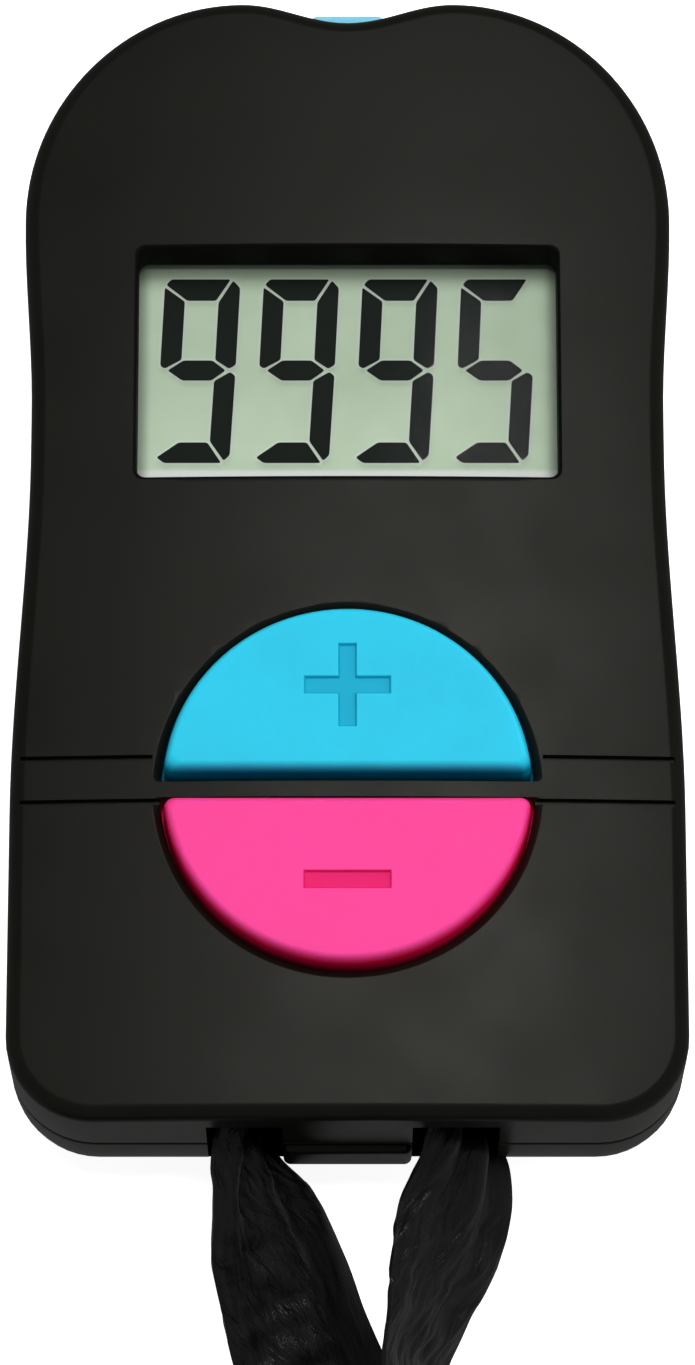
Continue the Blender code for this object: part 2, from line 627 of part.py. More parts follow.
# ---- board and electronics ----------------------------------------------------------------
def make_board():
    outline = [(BOARD_HALF, BOARD_Y[0]), (BOARD_HALF, BOARD_Y[1]), (TONGUE_HALF, BOARD_Y[1]),
               (TONGUE_HALF, TONGUE_Y), (-TONGUE_HALF, TONGUE_Y), (-TONGUE_HALF, BOARD_Y[1]),
               (-BOARD_HALF, BOARD_Y[1]), (-BOARD_HALF, BOARD_Y[0])]
    board = prism("main_board", outline, *BOARD_Z)
    cut(board, pins("board_holes", BOARD_SCREWS, 1.0 * MM, 7.0 * MM, 10.0 * MM, 12))
    finish(board, "board")
    blob = turned("chip_blob", ((0.0, -0.05 * MM), (4.5 * MM, -0.05 * MM), (4.3 * MM, -0.4 * MM),
                                (3.4 * MM, -0.9 * MM), (1.8 * MM, -1.25 * MM), (0.0, -1.35 * MM)),
                  (0.0, 9.0 * MM, BOARD_Z[0]))
    finish(blob, "epoxy")
    chips = (("capacitor_1", (9.5, 3.0), (1.6, 0.8, 0.8), "brown"),
             ("capacitor_2", (-9.5, 3.0), (1.6, 0.8, 0.8), "brown"),
             ("resistor_1", (9.5, 12.0), (1.6, 0.8, 0.5), "epoxy"))
    for name, (x, y), (length, width, height), kind in chips:
        low = ((x - length) * MM, (y - width) * MM, BOARD_Z[0] - (height + 0.05) * MM)
        high = ((x + length) * MM, (y + width) * MM, BOARD_Z[0] - 0.05 * MM)
        finish(box(name, low, high, 0.1 * MM, 1), kind)


def make_battery():
    profile = ((0.0, CELL_Z[1]), (4.6 * MM, CELL_Z[1]), (4.7 * MM, CELL_Z[1] - 0.5 * MM),
               (5.5 * MM, CELL_Z[1] - 0.6 * MM), (CELL_R, CELL_Z[1] - 1.0 * MM),
               (CELL_R, CELL_Z[0] + 0.3 * MM), (CELL_R - 0.3 * MM, CELL_Z[0]), (0.0, CELL_Z[0]))
    cell = turned("battery_cell", profile, (0.0, CELL_Y, 0.0), steps=28)
    finish(cell, "silver")
    thick = 0.25 * MM
    top = BOARD_Z[0] - 0.05 * MM
    side = CELL_R + 0.1 * MM
    upright = [(side, 2.6 * MM), (side + thick, 2.6 * MM), (side + thick, top - thick),
               (9.2 * MM, top - thick), (9.2 * MM, top), (side, top)]
    positive = side_prism("battery_contact_positive", upright, CELL_Y - 2.0 * MM, CELL_Y + 2.0 * MM)
    finish(positive, "silver")
    low = CELL_Z[1] + 0.08 * MM
    leaf = [(-9.2 * MM, top - thick), (-6.6 * MM, top - thick), (-2.6 * MM, low),
            (1.6 * MM, low), (3.0 * MM, low + 0.45 * MM), (3.0 * MM, low + 0.45 * MM + thick),
            (1.5 * MM, low + thick), (-2.5 * MM, low + thick), (-6.5 * MM, top), (-9.2 * MM, top)]
    negative = side_prism("battery_contact_negative", leaf, CELL_Y - 2.4 * MM, CELL_Y + 2.4 * MM)
    finish(negative, "silver")


def make_reset_switch():
    body = box("reset_switch_body", (-3.0 * MM, 27.0 * MM, 9.25 * MM), (3.0 * MM, 31.0 * MM, 12.6 * MM),
               0.2 * MM, 1)
    centre_z = 10.9 * MM
    bore = pins("switch_bore", ((0.0, 0.0),), 1.25 * MM, -35.0 * MM, -28.2 * MM, 20)
    bore.data.transform(Matrix.Translation((0.0, 0.0, centre_z)) @ Matrix.Rotation(
        math.radians(90.0), 4, "X"))
    cut(body, bore)
    finish(body, "epoxy")
    plunger = pins("reset_switch_plunger", ((0.0, 0.0),), 1.0 * MM, -33.2 * MM, -29.2 * MM, 20)
    plunger.data.transform(Matrix.Translation((0.0, 0.0, centre_z)) @ Matrix.Rotation(
        math.radians(90.0), 4, "X"))
    return finish(plunger, "case")


# ---- keys ---------------------------------------------------------------------------------
def make_key(label, side):
    """A hollow half-moon cap with a flange, a stem and an engraved symbol."""
    top_edge = 0.3 * MM
    levels = (
        (KEY_FLANGE_Z[0], KEY_FLANGE_R, KEY_FLANGE_FLAT, 0.5 * MM),
        (KEY_FLANGE_Z[1], KEY_FLANGE_R, KEY_FLANGE_FLAT, 0.5 * MM),
        (KEY_FLANGE_Z[1], KEY_BASE_R, KEY_BASE_FLAT, 0.5 * MM),
        (FACE_Z - 0.2 * MM, KEY_BASE_R, KEY_BASE_FLAT, 0.5 * MM),
        (KEY_TOP_Z - top_edge, KEY_TOP_R + 0.1 * MM, KEY_TOP_FLAT - 0.1 * MM, 0.5 * MM),
        (KEY_TOP_Z, KEY_TOP_R - top_edge, KEY_TOP_FLAT + top_edge, 0.5 * MM),
    )
    key = half_moon_loft(label + "_key", side, levels)
    hollow = ((12.0 * MM, KEY_BASE_R - 1.2 * MM, KEY_BASE_FLAT + 1.2 * MM, 0.5 * MM),
              (17.0 * MM, KEY_TOP_R - 1.2 * MM, KEY_TOP_FLAT + 1.2 * MM, 0.5 * MM))
    cut(key, half_moon_loft(label + "_hollow", side, hollow))
    place = (0.0, KEY_Y + side * SYMBOL_OFFSET)
    join(key, pins(label + "_stem", (place,), STEM_R, STEM_Z, 17.5 * MM, 20))
    long_half = SYMBOL_LENGTH / 2.0
    short_half = SYMBOL_WIDTH / 2.0
    floor_z = KEY_TOP_Z - SYMBOL_DEPTH
    cut(key, box(label + "_symbol_bar", (-long_half, place[1] - short_half, floor_z),
                 (long_half, place[1] + short_half, KEY_TOP_Z + 1.0 * MM)))
    if side > 0:
        cut(key, box(label + "_symbol_upright", (-short_half, place[1] - long_half, floor_z),
                     (short_half, place[1] + long_half, KEY_TOP_Z + 1.0 * MM)))
    return finish(key, label)


def make_keypad():
    mat = box("keypad_mat", (-12.4 * MM, -24.4 * MM, 9.25 * MM), (12.4 * MM, -7.4 * MM, 10.2 * MM),
              0.2 * MM, 1)
    places = [(0.0, KEY_Y + side * SYMBOL_OFFSET) for side in (1, -1)]
    cut(mat, pins("mat_holes", places, 3.0 * MM, 8.0 * MM, 12.0 * MM))
    finish(mat, "rubber")


def make_dome(label, side):
    """A hollow rubber dome that stands on the mat and is pressed flat by the key's stem."""
    profile = ((0.0, 13.5 * MM), (2.0 * MM, 13.5 * MM), (2.25 * MM, 13.3 * MM),
               (2.7 * MM, 11.4 * MM), (3.9 * MM, 10.6 * MM), (3.9 * MM, 10.25 * MM),
               (3.2 * MM, 10.25 * MM), (2.2 * MM, 11.2 * MM), (1.8 * MM, 13.0 * MM),
               (0.0, 13.0 * MM))
    dome = turned(label + "_dome", profile, (0.0, KEY_Y + side * SYMBOL_OFFSET, 0.0))
    finish(dome, "rubber")


def make_pill(label, side):
    place = (0.0, KEY_Y + side * SYMBOL_OFFSET)
    pill = pins(label + "_contact_pill", (place,), 1.5 * MM, 10.5 * MM, 12.9 * MM, 20)
    return finish(pill, "carbon")


def make_reset_key():
    """A rounded block through the end wall, with a flange that keeps it in the case."""
    key = box("reset_key", (-RESET_HALF, RESET_FLANGE_Y[0], RESET_Z[0]),
              (RESET_HALF, RESET_TIP_Y, RESET_Z[1]), 0.5 * MM, 3)
    flange = box("reset_flange", (-3.9 * MM, RESET_FLANGE_Y[0], 7.9 * MM),
                 (3.9 * MM, RESET_FLANGE_Y[1], 14.8 * MM), 0.2 * MM, 1)
    join(key, flange)
    return finish(key, "reset")


def group_on_slide(name, place, pieces):
    """Parent the pieces to an empty on the slide's axis."""
    empty = bpy.data.objects.new(name, None)
    empty.location = place
    PARTS.objects.link(empty)
    for piece in pieces:
        piece.parent = empty
        piece.matrix_parent_inverse = Matrix.Translation(place).inverted()


# ---- neck ribbon --------------------------------------------------------------------------
def catmull_rom(points, spacing):
    """Points about spacing apart on a smooth curve through the given points."""
    places = [Vector(point) for point in points]
    padded = [places[0] * 2.0 - places[1], *places, places[-1] * 2.0 - places[-2]]
    curve = []
    for before, start, end, after in zip(padded, padded[1:], padded[2:], padded[3:]):
        steps = max(1, round((end - start).length / spacing))
        for i in range(steps):
            t = i / steps
            curve.append(0.5 * (2.0 * start + (end - before) * t
                                + (2.0 * before - 5.0 * start + 4.0 * end - after) * t * t
                                + (3.0 * start - before - 3.0 * end + after) * t * t * t))
    curve.append(places[-1])
    return curve


def make_ribbon():
    route = [tuple(value * MM for value in point) for point in RIBBON_ROUTE]
    points = catmull_rom(route, 3.6 * MM)
    curve = bpy.data.curves.new("lanyard_ribbon", "CURVE")
    curve.dimensions = "3D"
    curve.bevel_depth = RIBBON_R
    curve.bevel_resolution = 2
    curve.use_fill_caps = True
    spline = curve.splines.new("POLY")
    spline.points.add(len(points) - 1)
    for spline_point, place in zip(spline.points, points):
        spline_point.co = (*place, 1.0)
    finish(bpy.data.objects.new("lanyard_ribbon", curve), "ribbon")
    section = ((COIL_INNER, COIL_Z[1]), (COIL_OUTER, COIL_Z[1]), (COIL_OUTER, COIL_Z[0]),
               (COIL_INNER, COIL_Z[0]), (COIL_INNER, COIL_Z[1]))
    coil = turned("lanyard_coil", section, (*COIL_CENTRE, 0.0), steps=48)
    finish(coil, "ribbon")


# ---- build --------------------------------------------------------------------------------
def build():
    make_front_shell()
    make_rear_cover()
    make_battery_door()
    for number, place in enumerate(CASE_SCREWS, 1):
        make_screw(f"casing_screw_{number}", place, 3.35 * MM, (2.0 * MM, 1.3 * MM, 1.0 * MM, 10.4 * MM))
    for number, place in enumerate(BOARD_SCREWS, 1):
        make_screw(f"board_screw_{number}", place, 7.9 * MM, (1.6 * MM, 0.9 * MM, 0.8 * MM, 5.2 * MM))
    make_screw("battery_door_screw", DOOR_SCREW, 0.85 * MM, (1.5 * MM, 0.7 * MM, 0.75 * MM, 4.0 * MM))
    make_display()
    make_board()
    make_battery()
    make_keypad()
    for label, side in (("plus", 1), ("minus", -1)):
        make_dome(label, side)
        pieces = [make_key(label, side), make_pill(label, side)]
        group_on_slide(label + "_press", (0.0, KEY_Y + side * SYMBOL_OFFSET, FACE_Z), pieces)
    pieces = [make_reset_key(), make_reset_switch()]
    group_on_slide("reset_press", (0.0, RESET_TIP_Y, 10.9 * MM), pieces)
    make_ribbon()


clear_scene()
PARTS = make_collection("hand_tally_counter")
CUTTERS = make_collection("cutters")
build()
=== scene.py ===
"""The looks of a hand tally counter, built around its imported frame.

Metres, in the frame's own axes: the counter lies on its back, +Z comes out of the front face and
+Y points to the end with the reset key. Sizes are written in millimetres times MM.
"""

import json
import math

import bmesh
import bpy
from mathutils import Matrix, Vector, noise

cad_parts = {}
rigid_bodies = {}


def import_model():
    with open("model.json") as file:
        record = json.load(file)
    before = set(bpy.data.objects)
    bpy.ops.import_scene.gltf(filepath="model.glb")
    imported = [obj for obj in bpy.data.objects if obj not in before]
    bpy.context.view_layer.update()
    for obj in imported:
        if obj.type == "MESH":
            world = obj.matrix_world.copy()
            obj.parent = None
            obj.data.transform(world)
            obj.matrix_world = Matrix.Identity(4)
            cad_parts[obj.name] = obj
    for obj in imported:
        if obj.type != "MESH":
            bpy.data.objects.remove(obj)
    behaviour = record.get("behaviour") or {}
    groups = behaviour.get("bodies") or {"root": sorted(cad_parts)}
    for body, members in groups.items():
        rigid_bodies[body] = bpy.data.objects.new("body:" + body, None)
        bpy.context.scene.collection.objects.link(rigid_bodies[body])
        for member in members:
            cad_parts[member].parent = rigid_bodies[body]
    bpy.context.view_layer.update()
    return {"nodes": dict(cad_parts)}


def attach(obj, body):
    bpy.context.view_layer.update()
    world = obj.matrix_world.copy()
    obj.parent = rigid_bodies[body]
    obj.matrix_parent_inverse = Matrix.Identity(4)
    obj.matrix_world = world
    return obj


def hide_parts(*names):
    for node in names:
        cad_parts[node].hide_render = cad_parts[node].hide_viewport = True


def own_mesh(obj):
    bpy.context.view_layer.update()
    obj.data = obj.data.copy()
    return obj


MM = 0.001


def mm(*values):
    """Lengths in millimetres as a tuple in metres."""
    return tuple(value * MM for value in values)


# ---- case, as the frame has it ----
TOP_Y = 38.3 * MM
BOTTOM_Y = -37.4 * MM
NOTCH_HALF = 7.0 * MM
NOTCH_DEPTH = 1.35 * MM
SHOULDER_HALF = 21.1 * MM
SHOULDER_Y = 23.3 * MM
WAIST_HALF = 20.5 * MM
WAIST_TOP_Y = 10.0 * MM
WAIST_BOTTOM_Y = 7.0 * MM
HIP_HALF = 21.5 * MM
HIP_Y = -17.0 * MM
CORNER_R = 5.6 * MM
FACE_Z = 17.0 * MM
CROWN_DROP = 0.65 * MM
CROWN_HALF = 20.0 * MM
WALL = 1.8 * MM
EDGE_R = 1.0 * MM
REAR_RIM_Z = 9.7 * MM
FRONT_RIM_Z = 10.0 * MM
REAR_STRAIGHT_Z = 7.5 * MM
REAR_INSET = 5.0 * MM
LIP_TOP_Z = 11.2 * MM
LIP_INSET = 2.1 * MM
LIP_WALL = 0.7 * MM
LIP_FOOT_Z = 8.8 * MM
RIM_ROUND = 0.18 * MM
TOP_FAN = 6.0 * MM                 # the face's rows of faces fan out over these end stretches
BOTTOM_FAN = 5.0 * MM

# ---- display ----
WINDOW_HALF = 13.65 * MM
WINDOW_LOW_Y = 5.05 * MM
WINDOW_HIGH_Y = 20.85 * MM
WINDOW_CORNER_R = 0.65 * MM
WINDOW_ROUND = 0.25 * MM
WINDOW_CUT_Z = 12.0 * MM           # its cutter starts here
SKIRT_WALL = 1.2 * MM
LENS_TOP_Z = 13.55 * MM
SHEET_TOP_Z = 12.7 * MM
SHEET_LOW = mm(-13.9, 4.6)
SHEET_HIGH = mm(13.9, 21.8)
SHEET_THICK = 0.2 * MM
SHEET_SPACING = 0.1 * MM           # between the points that its shade is painted on
DIGIT_LEFT = -12.58 * MM
DIGIT_BOTTOM_Y = 7.38 * MM
DIGIT_PITCH = 6.49 * MM
DIGIT_SLANT = 0.047
DIGIT_SHADOW = mm(0.04, -0.36)
DIGIT_SHADOW_BLUR = 0.3 * MM
DIGIT_SHADOW_DEPTH = 0.2
DISPLAY_SIDE_SHADE = 0.85 * MM
DISPLAY_RIM_TOP_Y = 6.88 * MM      # the paler strip along the lower edge ends here
# the painted pale halo round the lit segments: its width, then its strength
DIGIT_RIM = 0.2 * MM
DIGIT_RIM_PALENESS = 0.55
TOP_BAND_Y = 19.9 * MM
DIGIT_TEXT = "9995"
SEGMENT_ROUND = 0.16               # mm
LIT_SEGMENTS = {"9": "abcdfg", "5": "acdfg"}
SEGMENTS = {                       # corners in mm from the digit's bottom left, before it slants
    "a": ((0.08, 12.42), (0.4, 12.8), (4.3, 12.8), (3.42, 11.3), (1.52, 11.3)),
    "b": ((4.47, 12.72), (4.95, 12.2), (4.95, 6.82), (4.52, 6.54), (3.58, 7.16), (3.58, 11.16)),
    "c": ((4.6, 6.32), (4.95, 6.05), (4.88, 0.55), (4.5, 0.15), (3.53, 1.5), (3.58, 5.68)),
    "d": ((0.1, 0.38), (0.62, 0.0), (4.35, 0.0), (3.37, 1.42), (1.5, 1.42)),
    "f": ((0.0, 12.24), (1.37, 11.24), (1.37, 7.17), (0.3, 6.55), (0.0, 6.75)),
    "g": ((0.5, 6.42), (1.5, 7.12), (3.4, 7.12), (4.3, 6.42), (3.4, 5.72), (1.5, 5.72)),
}

# ---- keys ----
KEY_Y = -16.0 * MM
KEY_TOP_R = 11.2 * MM
KEY_BASE_R = 11.75 * MM
KEY_TOP_FLAT = 1.42 * MM
KEY_BASE_FLAT = 0.8 * MM
KEY_TOP_Z = 18.6 * MM
KEY_EDGE_Z = 17.4 * MM             # the keys' rounded edge starts here
KEY_WALL = 1.2 * MM
KEY_HOLLOW_Z = mm(13.0, 17.0)
OPENING_R = 11.9 * MM
OPENING_CORNER_R = 0.4 * MM
OPENING_CUT_Z = 13.0 * MM
OPENING_DEPTH = 3.6 * MM           # a hole follows the face's crown from this far below it
OPENING_FLARE = 0.65 * MM
OPENING_FLARE_DEPTH = 0.55 * MM
BAR_HALF = 0.55 * MM
SYMBOL_OFFSET = 6.4 * MM
SYMBOL_LENGTH = 5.4 * MM
SYMBOL_WIDTH = 1.05 * MM
SYMBOL_DEPTH = 0.24 * MM
GROOVE_WIDTH = 0.4 * MM
GROOVE_DEPTH = 0.5 * MM
GROOVES = (mm(-13.9, 12.4), mm(-16.8, 11.9))
GROOVE_OUTER = 20.8 * MM
RESET_HALF = 2.65 * MM
RESET_Z = mm(8.4, 14.6)
RESET_TIP_Y = 38.4 * MM
RESET_FOOT_Y = 33.5 * MM
RESET_GAP = 0.3 * MM
RESET_OPENING_Y = mm(35.0, 40.0)
RESET_FLANGE = (mm(-3.9, 33.5, 7.9), mm(3.9, 34.6, 14.8))     # opposite corners
RESET_RELIEF = (mm(-4.5, 31.0, 7.4), mm(4.5, 35.1, 12.0))
BLUE_REACH = (0.2, 0.8, 1.0)       # how far each colour of light goes into the plastic
PINK_REACH = (1.0, 0.06, 0.15)

# ---- screws, battery door and what is inside the case ----
CASE_SCREWS = (mm(12.0, 28.6), mm(-12.0, 28.6),
               mm(13.8, -29.8), mm(-13.8, -29.8))
BOARD_SCREWS = (mm(15.0, -1.0), mm(-15.0, -1.0),
                mm(14.8, -22.6), mm(-14.8, -22.6))
DOOR_SCREW = (0.0, -23.2 * MM)
DOOR_HALF = 9.0 * MM
DOOR_Y = mm(-25.1, -7.0)
DOOR_THICK = 1.2 * MM
DOOR_GAP = 0.2 * MM
# Upright features as (places, radius, low end, high end).
FRONT_BOSSES = ((CASE_SCREWS, *mm(2.4, 10.2, 15.6)), (BOARD_SCREWS, *mm(1.9, 9.5, 15.6)))
FRONT_PILOTS = ((CASE_SCREWS, *mm(1.2, 9.0, 14.6)), (BOARD_SCREWS, *mm(0.95, 9.0, 13.6)))
REAR_BOSSES = ((CASE_SCREWS, *mm(3.2, 1.0), REAR_RIM_Z - 0.02 * MM),
               ((DOOR_SCREW,), *mm(1.9, 1.5, 6.0)))
REAR_HOLES = ((CASE_SCREWS, *mm(1.25, -1.0, 11.0)), ((DOOR_SCREW,), *mm(0.95, 0.5, 5.2)))
REAR_COUNTERBORES = (CASE_SCREWS, *mm(2.35, -1.0, 3.4))
DOOR_COUNTERBORE = ((DOOR_SCREW,), *mm(1.75, -1.0, 0.9))
DOOR_CLEARANCE = ((DOOR_SCREW,), *mm(1.0, -1.2, 3.0))
# Boxes and rectangles as opposite corners.
CELL_WELL = (mm(-10.4, -21.8, 1.5), mm(10.4, -5.9, 7.3))
CELL_HOLLOW = (mm(-9.4, -20.8, 1.9), mm(9.4, -6.9, 8.0))
DOOR_OPENING = (mm(-8.0, -20.0), mm(8.0, -8.2))

# ---- neck ribbon ----
LANYARD_BAR_HALF = 4.1 * MM
LANYARD_BAR_Y = -37.9 * MM
LANYARD_BAR_Z = mm(5.9, 9.5)
SLOT_OUTER = {-1: 8.9 * MM, 1: 9.6 * MM}
SLOT_Y = (BOTTOM_Y - 3.0 * MM, -34.0 * MM)
SLOT_Z = mm(4.5, 14.3)
PARTITION_Y = -31.6 * MM
PARTITION = ((-10.2 * MM, PARTITION_Y, 1.0 * MM), (10.2 * MM, PARTITION_Y + 1.0 * MM, 14.4 * MM))
RIBBON_RELIEF = ((-SLOT_OUTER[-1] - 0.6 * MM, -35.5 * MM, 4.2 * MM),
                 (SLOT_OUTER[1] - 0.05 * MM, PARTITION_Y - 0.1 * MM, 13.0 * MM))
RIBBON_WIDTH = 10.0 * MM
RIBBON_THICK = 0.3 * MM
RIBBON_CLEARANCE = 0.4 * MM        # its edges stay this far above the floor
RIBBON_COLUMNS = 80
FINE_LENGTH = 28.0 * MM            # the creased part beside each slot
FINE_SPACING = 0.25 * MM
COIL_SPACING = 2.0 * MM
LEFT_STRAND = (                    # the frame's route in mm, from behind the bar to the coil
    (0.0, -33.8, 7.5), (-4.0, -33.9, 7.5), (-6.0, -35.0, 7.5), (-6.7, -37.2, 7.4),
    (-6.7, -40.0, 6.7), (-6.0, -43.0, 5.1), (-4.4, -47.0, 3.4), (-2.0, -51.5, 2.3),
    (1.2, -56.8, 2.3), (5.0, -62.0, 2.9), (9.6, -67.2, 3.7), (13.6, -71.6, 4.5),
    (16.9, -75.8, 5.1), (18.9, -79.6, 5.1), (20.0, -84.5, 5.2), (20.1, -90.5, 5.2),
    (19.5, -97.0, 5.2),
)
RIGHT_STRAND = (
    (0.0, -33.8, 7.5), (4.0, -33.9, 7.5), (6.0, -35.0, 7.5), (6.9, -37.2, 7.4),
    (7.3, -40.0, 6.9), (7.0, -43.5, 6.0), (6.2, -47.0, 5.3), (5.6, -51.5, 5.0),
    (6.4, -56.5, 5.0), (9.0, -62.0, 5.1), (12.6, -67.5, 5.1), (16.4, -73.2, 5.1),
    (19.6, -79.4, 5.1), (22.2, -87.6, 5.1), (22.9, -95.5, 5.2),
)
COIL_CENTRE = mm(-25.0, -103.5)
COIL_Z = 5.2 * MM
COIL_LAYER = 3.6 * MM              # one strand to the next
COIL_INNER_START = 43.9 * MM
COIL_TURN_ANGLE = 4.45
TIE_TURN = -0.6                    # radians round the coil
TIE_LOW = mm(38.6, 0.03)           # its section's corners, out from the coil's centre and up
TIE_HIGH = mm(47.6, 10.75)
TIE_CORNER_R = 0.5 * MM
TIE_WALL = 0.25 * MM
TIE_HALF_WIDTH = 2.2 * MM

# ---- camera and floor ----
CAMERA_PLACE = mm(0.0, -127.9, 394.1)
CAMERA_TARGET = mm(0.0, -8.97, 17.0)
CAMERA_LENS = 163.7
FLOOR_HALF = 12.0
FLOOR_Z = -0.02 * MM


# ---- scene helpers ----
def clear_scene():
    for obj in list(bpy.data.objects):
        bpy.data.objects.remove(obj, do_unlink=True)


def link(obj):
    bpy.context.scene.collection.objects.link(obj)
    return obj


def linear(value):
    share = value / 255.0
    return share / 12.92 if share <= 0.04045 else ((share + 0.055) / 1.055) ** 2.4


def rgb(*values):
    """A colour given as sRGB from 0 to 255, for a shader's socket."""
    return (*[linear(value) for value in values], 1.0)


def boolean(obj, operation, tool):
    modifier = obj.modifiers.new(tool.name, "BOOLEAN")
    modifier.operation = operation
    modifier.solver = "EXACT"
    modifier.material_mode = "TRANSFER"
    modifier.object = tool


def join(obj, tool):
    boolean(obj, "UNION", tool)


def cut(obj, tool):
    boolean(obj, "DIFFERENCE", tool)


def apply_modifiers(obj):
    """Turn the modified shape into the object's own mesh, and remove the shapes it was cut by."""
    tools = {modifier.object for modifier in obj.modifiers if modifier.type == "BOOLEAN"}
    bpy.context.view_layer.update()
    graph = bpy.context.evaluated_depsgraph_get()
    mesh = bpy.data.meshes.new_from_object(obj.evaluated_get(graph),
                                           preserve_all_data_layers=True, depsgraph=graph)
    obj.modifiers.clear()
    obj.data = mesh
    for tool in tools:
        bpy.data.objects.remove(tool, do_unlink=True)


def finish_piece(obj, body, material=None, replaces=(), smooth_angle=32.0):
    """Shade the piece, give it its material, and put it on its body."""
    if obj.modifiers:
        apply_modifiers(obj)
    if material is not None:
        obj.data.materials.clear()
        obj.data.materials.append(material)
    obj.data.shade_smooth()
    obj.data.set_sharp_from_angle(angle=math.radians(smooth_angle))
    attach(obj, body)
    if replaces:
        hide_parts(*replaces)
    return obj


def weigh_normals(obj):
    """Let the large faces lead the shading, so that small edge faces don't smear it."""
    modifier = obj.modifiers.new("weigh_normals", "WEIGHTED_NORMAL")
    modifier.keep_sharp = True


# ---- shapes ----
def from_bmesh(name, mesh_data):
    bmesh.ops.recalc_face_normals(mesh_data, faces=mesh_data.faces)
    mesh = bpy.data.meshes.new(name)
    mesh_data.to_mesh(mesh)
    mesh_data.free()
    return link(bpy.data.objects.new(name, mesh))


def boxes(name, corner_pairs, round_edges=0.0, segments=3):
    """One object of several boxes that don't touch, with rounded edges if asked."""
    mesh_data = bmesh.new()
    for low, high in corner_pairs:
        size = [high[i] - low[i] for i in range(3)]
        middle = Vector([(high[i] + low[i]) / 2.0 for i in range(3)])
        matrix = Matrix.Translation(middle) @ Matrix.Diagonal((*size, 1.0))
        bmesh.ops.create_cube(mesh_data, size=1.0, matrix=matrix)
    if round_edges:
        bmesh.ops.bevel(mesh_data, geom=mesh_data.edges[:], offset=round_edges,
                        segments=segments, profile=0.5, affect="EDGES")
    return from_bmesh(name, mesh_data)


def box(name, low, high, round_edges=0.0, segments=3):
    return boxes(name, [(low, high)], round_edges, segments)


def pins(name, *groups):
    """Upright cylinders as one object. A group is (places, radius, low, high)."""
    mesh_data = bmesh.new()
    for places, radius, low_z, high_z in groups:
        for place in places:
            matrix = Matrix.Translation((place[0], place[1], (low_z + high_z) / 2.0))
            bmesh.ops.create_cone(mesh_data, cap_ends=True, segments=48, radius1=radius,
                                  radius2=radius, depth=high_z - low_z, matrix=matrix)
    return from_bmesh(name, mesh_data)


def add_rings(mesh_data, rings):
    """Vertices for rings of points."""
    return [[mesh_data.verts.new(point) for point in ring] for ring in rings]


def add_bands(mesh_data, rows):
    """Faces from each ring of vertices to the next."""
    count = len(rows[0])
    for lower, upper in zip(rows, rows[1:]):
        for i in range(count):
            j = (i + 1) % count
            mesh_data.faces.new((lower[i], lower[j], upper[j], upper[i]))


def add_loft(mesh_data, rings):
    """Closed solid through rings of points, with a flat face at each end."""
    rows = add_rings(mesh_data, rings)
    add_bands(mesh_data, rows)
    mesh_data.faces.new(rows[0])
    mesh_data.faces.new(rows[-1])


def loft(name, *solids):
    """Solids given as rings of points, as one object."""
    mesh_data = bmesh.new()
    for rings in solids:
        add_loft(mesh_data, rings)
    return from_bmesh(name, mesh_data)


def at_height(outline, z):
    return [(x, y, z) for x, y in outline]


def arc(centre, radii, start, end, steps):
    """Points on an elliptic arc from one angle to another, in degrees, both ends among them."""
    points = []
    for i in range(steps + 1):
        angle = math.radians(start + (end - start) * i / steps)
        points.append((centre[0] + radii[0] * math.cos(angle), centre[1] + radii[1] * math.sin(angle)))
    return points


def rounded_rectangle(low, high, radius, steps=6):
    """Corner points of a rectangle in XY with rounded corners, anticlockwise."""
    points = []
    corners = ((high[0] - radius, high[1] - radius, 0.0), (low[0] + radius, high[1] - radius, 90.0),
               (low[0] + radius, low[1] + radius, 180.0), (high[0] - radius, low[1] + radius, 270.0))
    for x, y, start in corners:
        points += arc((x, y), (radius, radius), start, start + 90.0, steps)
    return points


def grown_rectangle(low, high, radius, growth, steps=6):
    return rounded_rectangle((low[0] - growth, low[1] - growth),
                             (high[0] + growth, high[1] + growth), radius + growth, steps)


def divided(outline, spacing):
    """A closed outline with points added so that none are further apart than spacing."""
    points = []
    for i, start in enumerate(outline):
        end = outline[(i + 1) % len(outline)]
        parts = max(1, math.ceil(math.dist(start, end) / spacing))
        for part in range(parts):
            share = part / parts
            points.append((start[0] + (end[0] - start[0]) * share,
                           start[1] + (end[1] - start[1]) * share))
    return points


def rounded_corners(corners, radius, steps=4):
    """A polygon's corners cut by short curves."""
    points = []
    for i, corner in enumerate(corners):
        here = Vector(corner)
        before = Vector(corners[i - 1]) - here
        after = Vector(corners[(i + 1) % len(corners)]) - here
        reach = min(radius, before.length * 0.45, after.length * 0.45)
        start = here + before.normalized() * reach
        end = here + after.normalized() * reach
        for step in range(steps + 1):
            t = step / steps
            points.append(start * (1 - t) ** 2 + here * 2 * t * (1 - t) + end * t ** 2)
    return [tuple(point) for point in points]


def turned(name, profile, location, steps=64):
    """A profile of (radius, height), outer side from top to bottom, turned about +Z."""
    mesh = bpy.data.meshes.new(name)
    points = [(radius, 0.0, height) for radius, height in profile]
    mesh.from_pydata(points, [(i, i + 1) for i in range(len(points) - 1)], [])
    obj = link(bpy.data.objects.new(name, mesh))
    screw = obj.modifiers.new("turn", "SCREW")
    screw.steps = steps
    screw.render_steps = steps
    screw.use_merge_vertices = True
    screw.merge_threshold = 0.00001
    apply_modifiers(obj)
    obj.data.transform(Matrix.Translation(location))
    return obj


def smooth_step(share):
    share = min(max(share, 0.0), 1.0)
    return share * share * (3.0 - 2.0 * share)


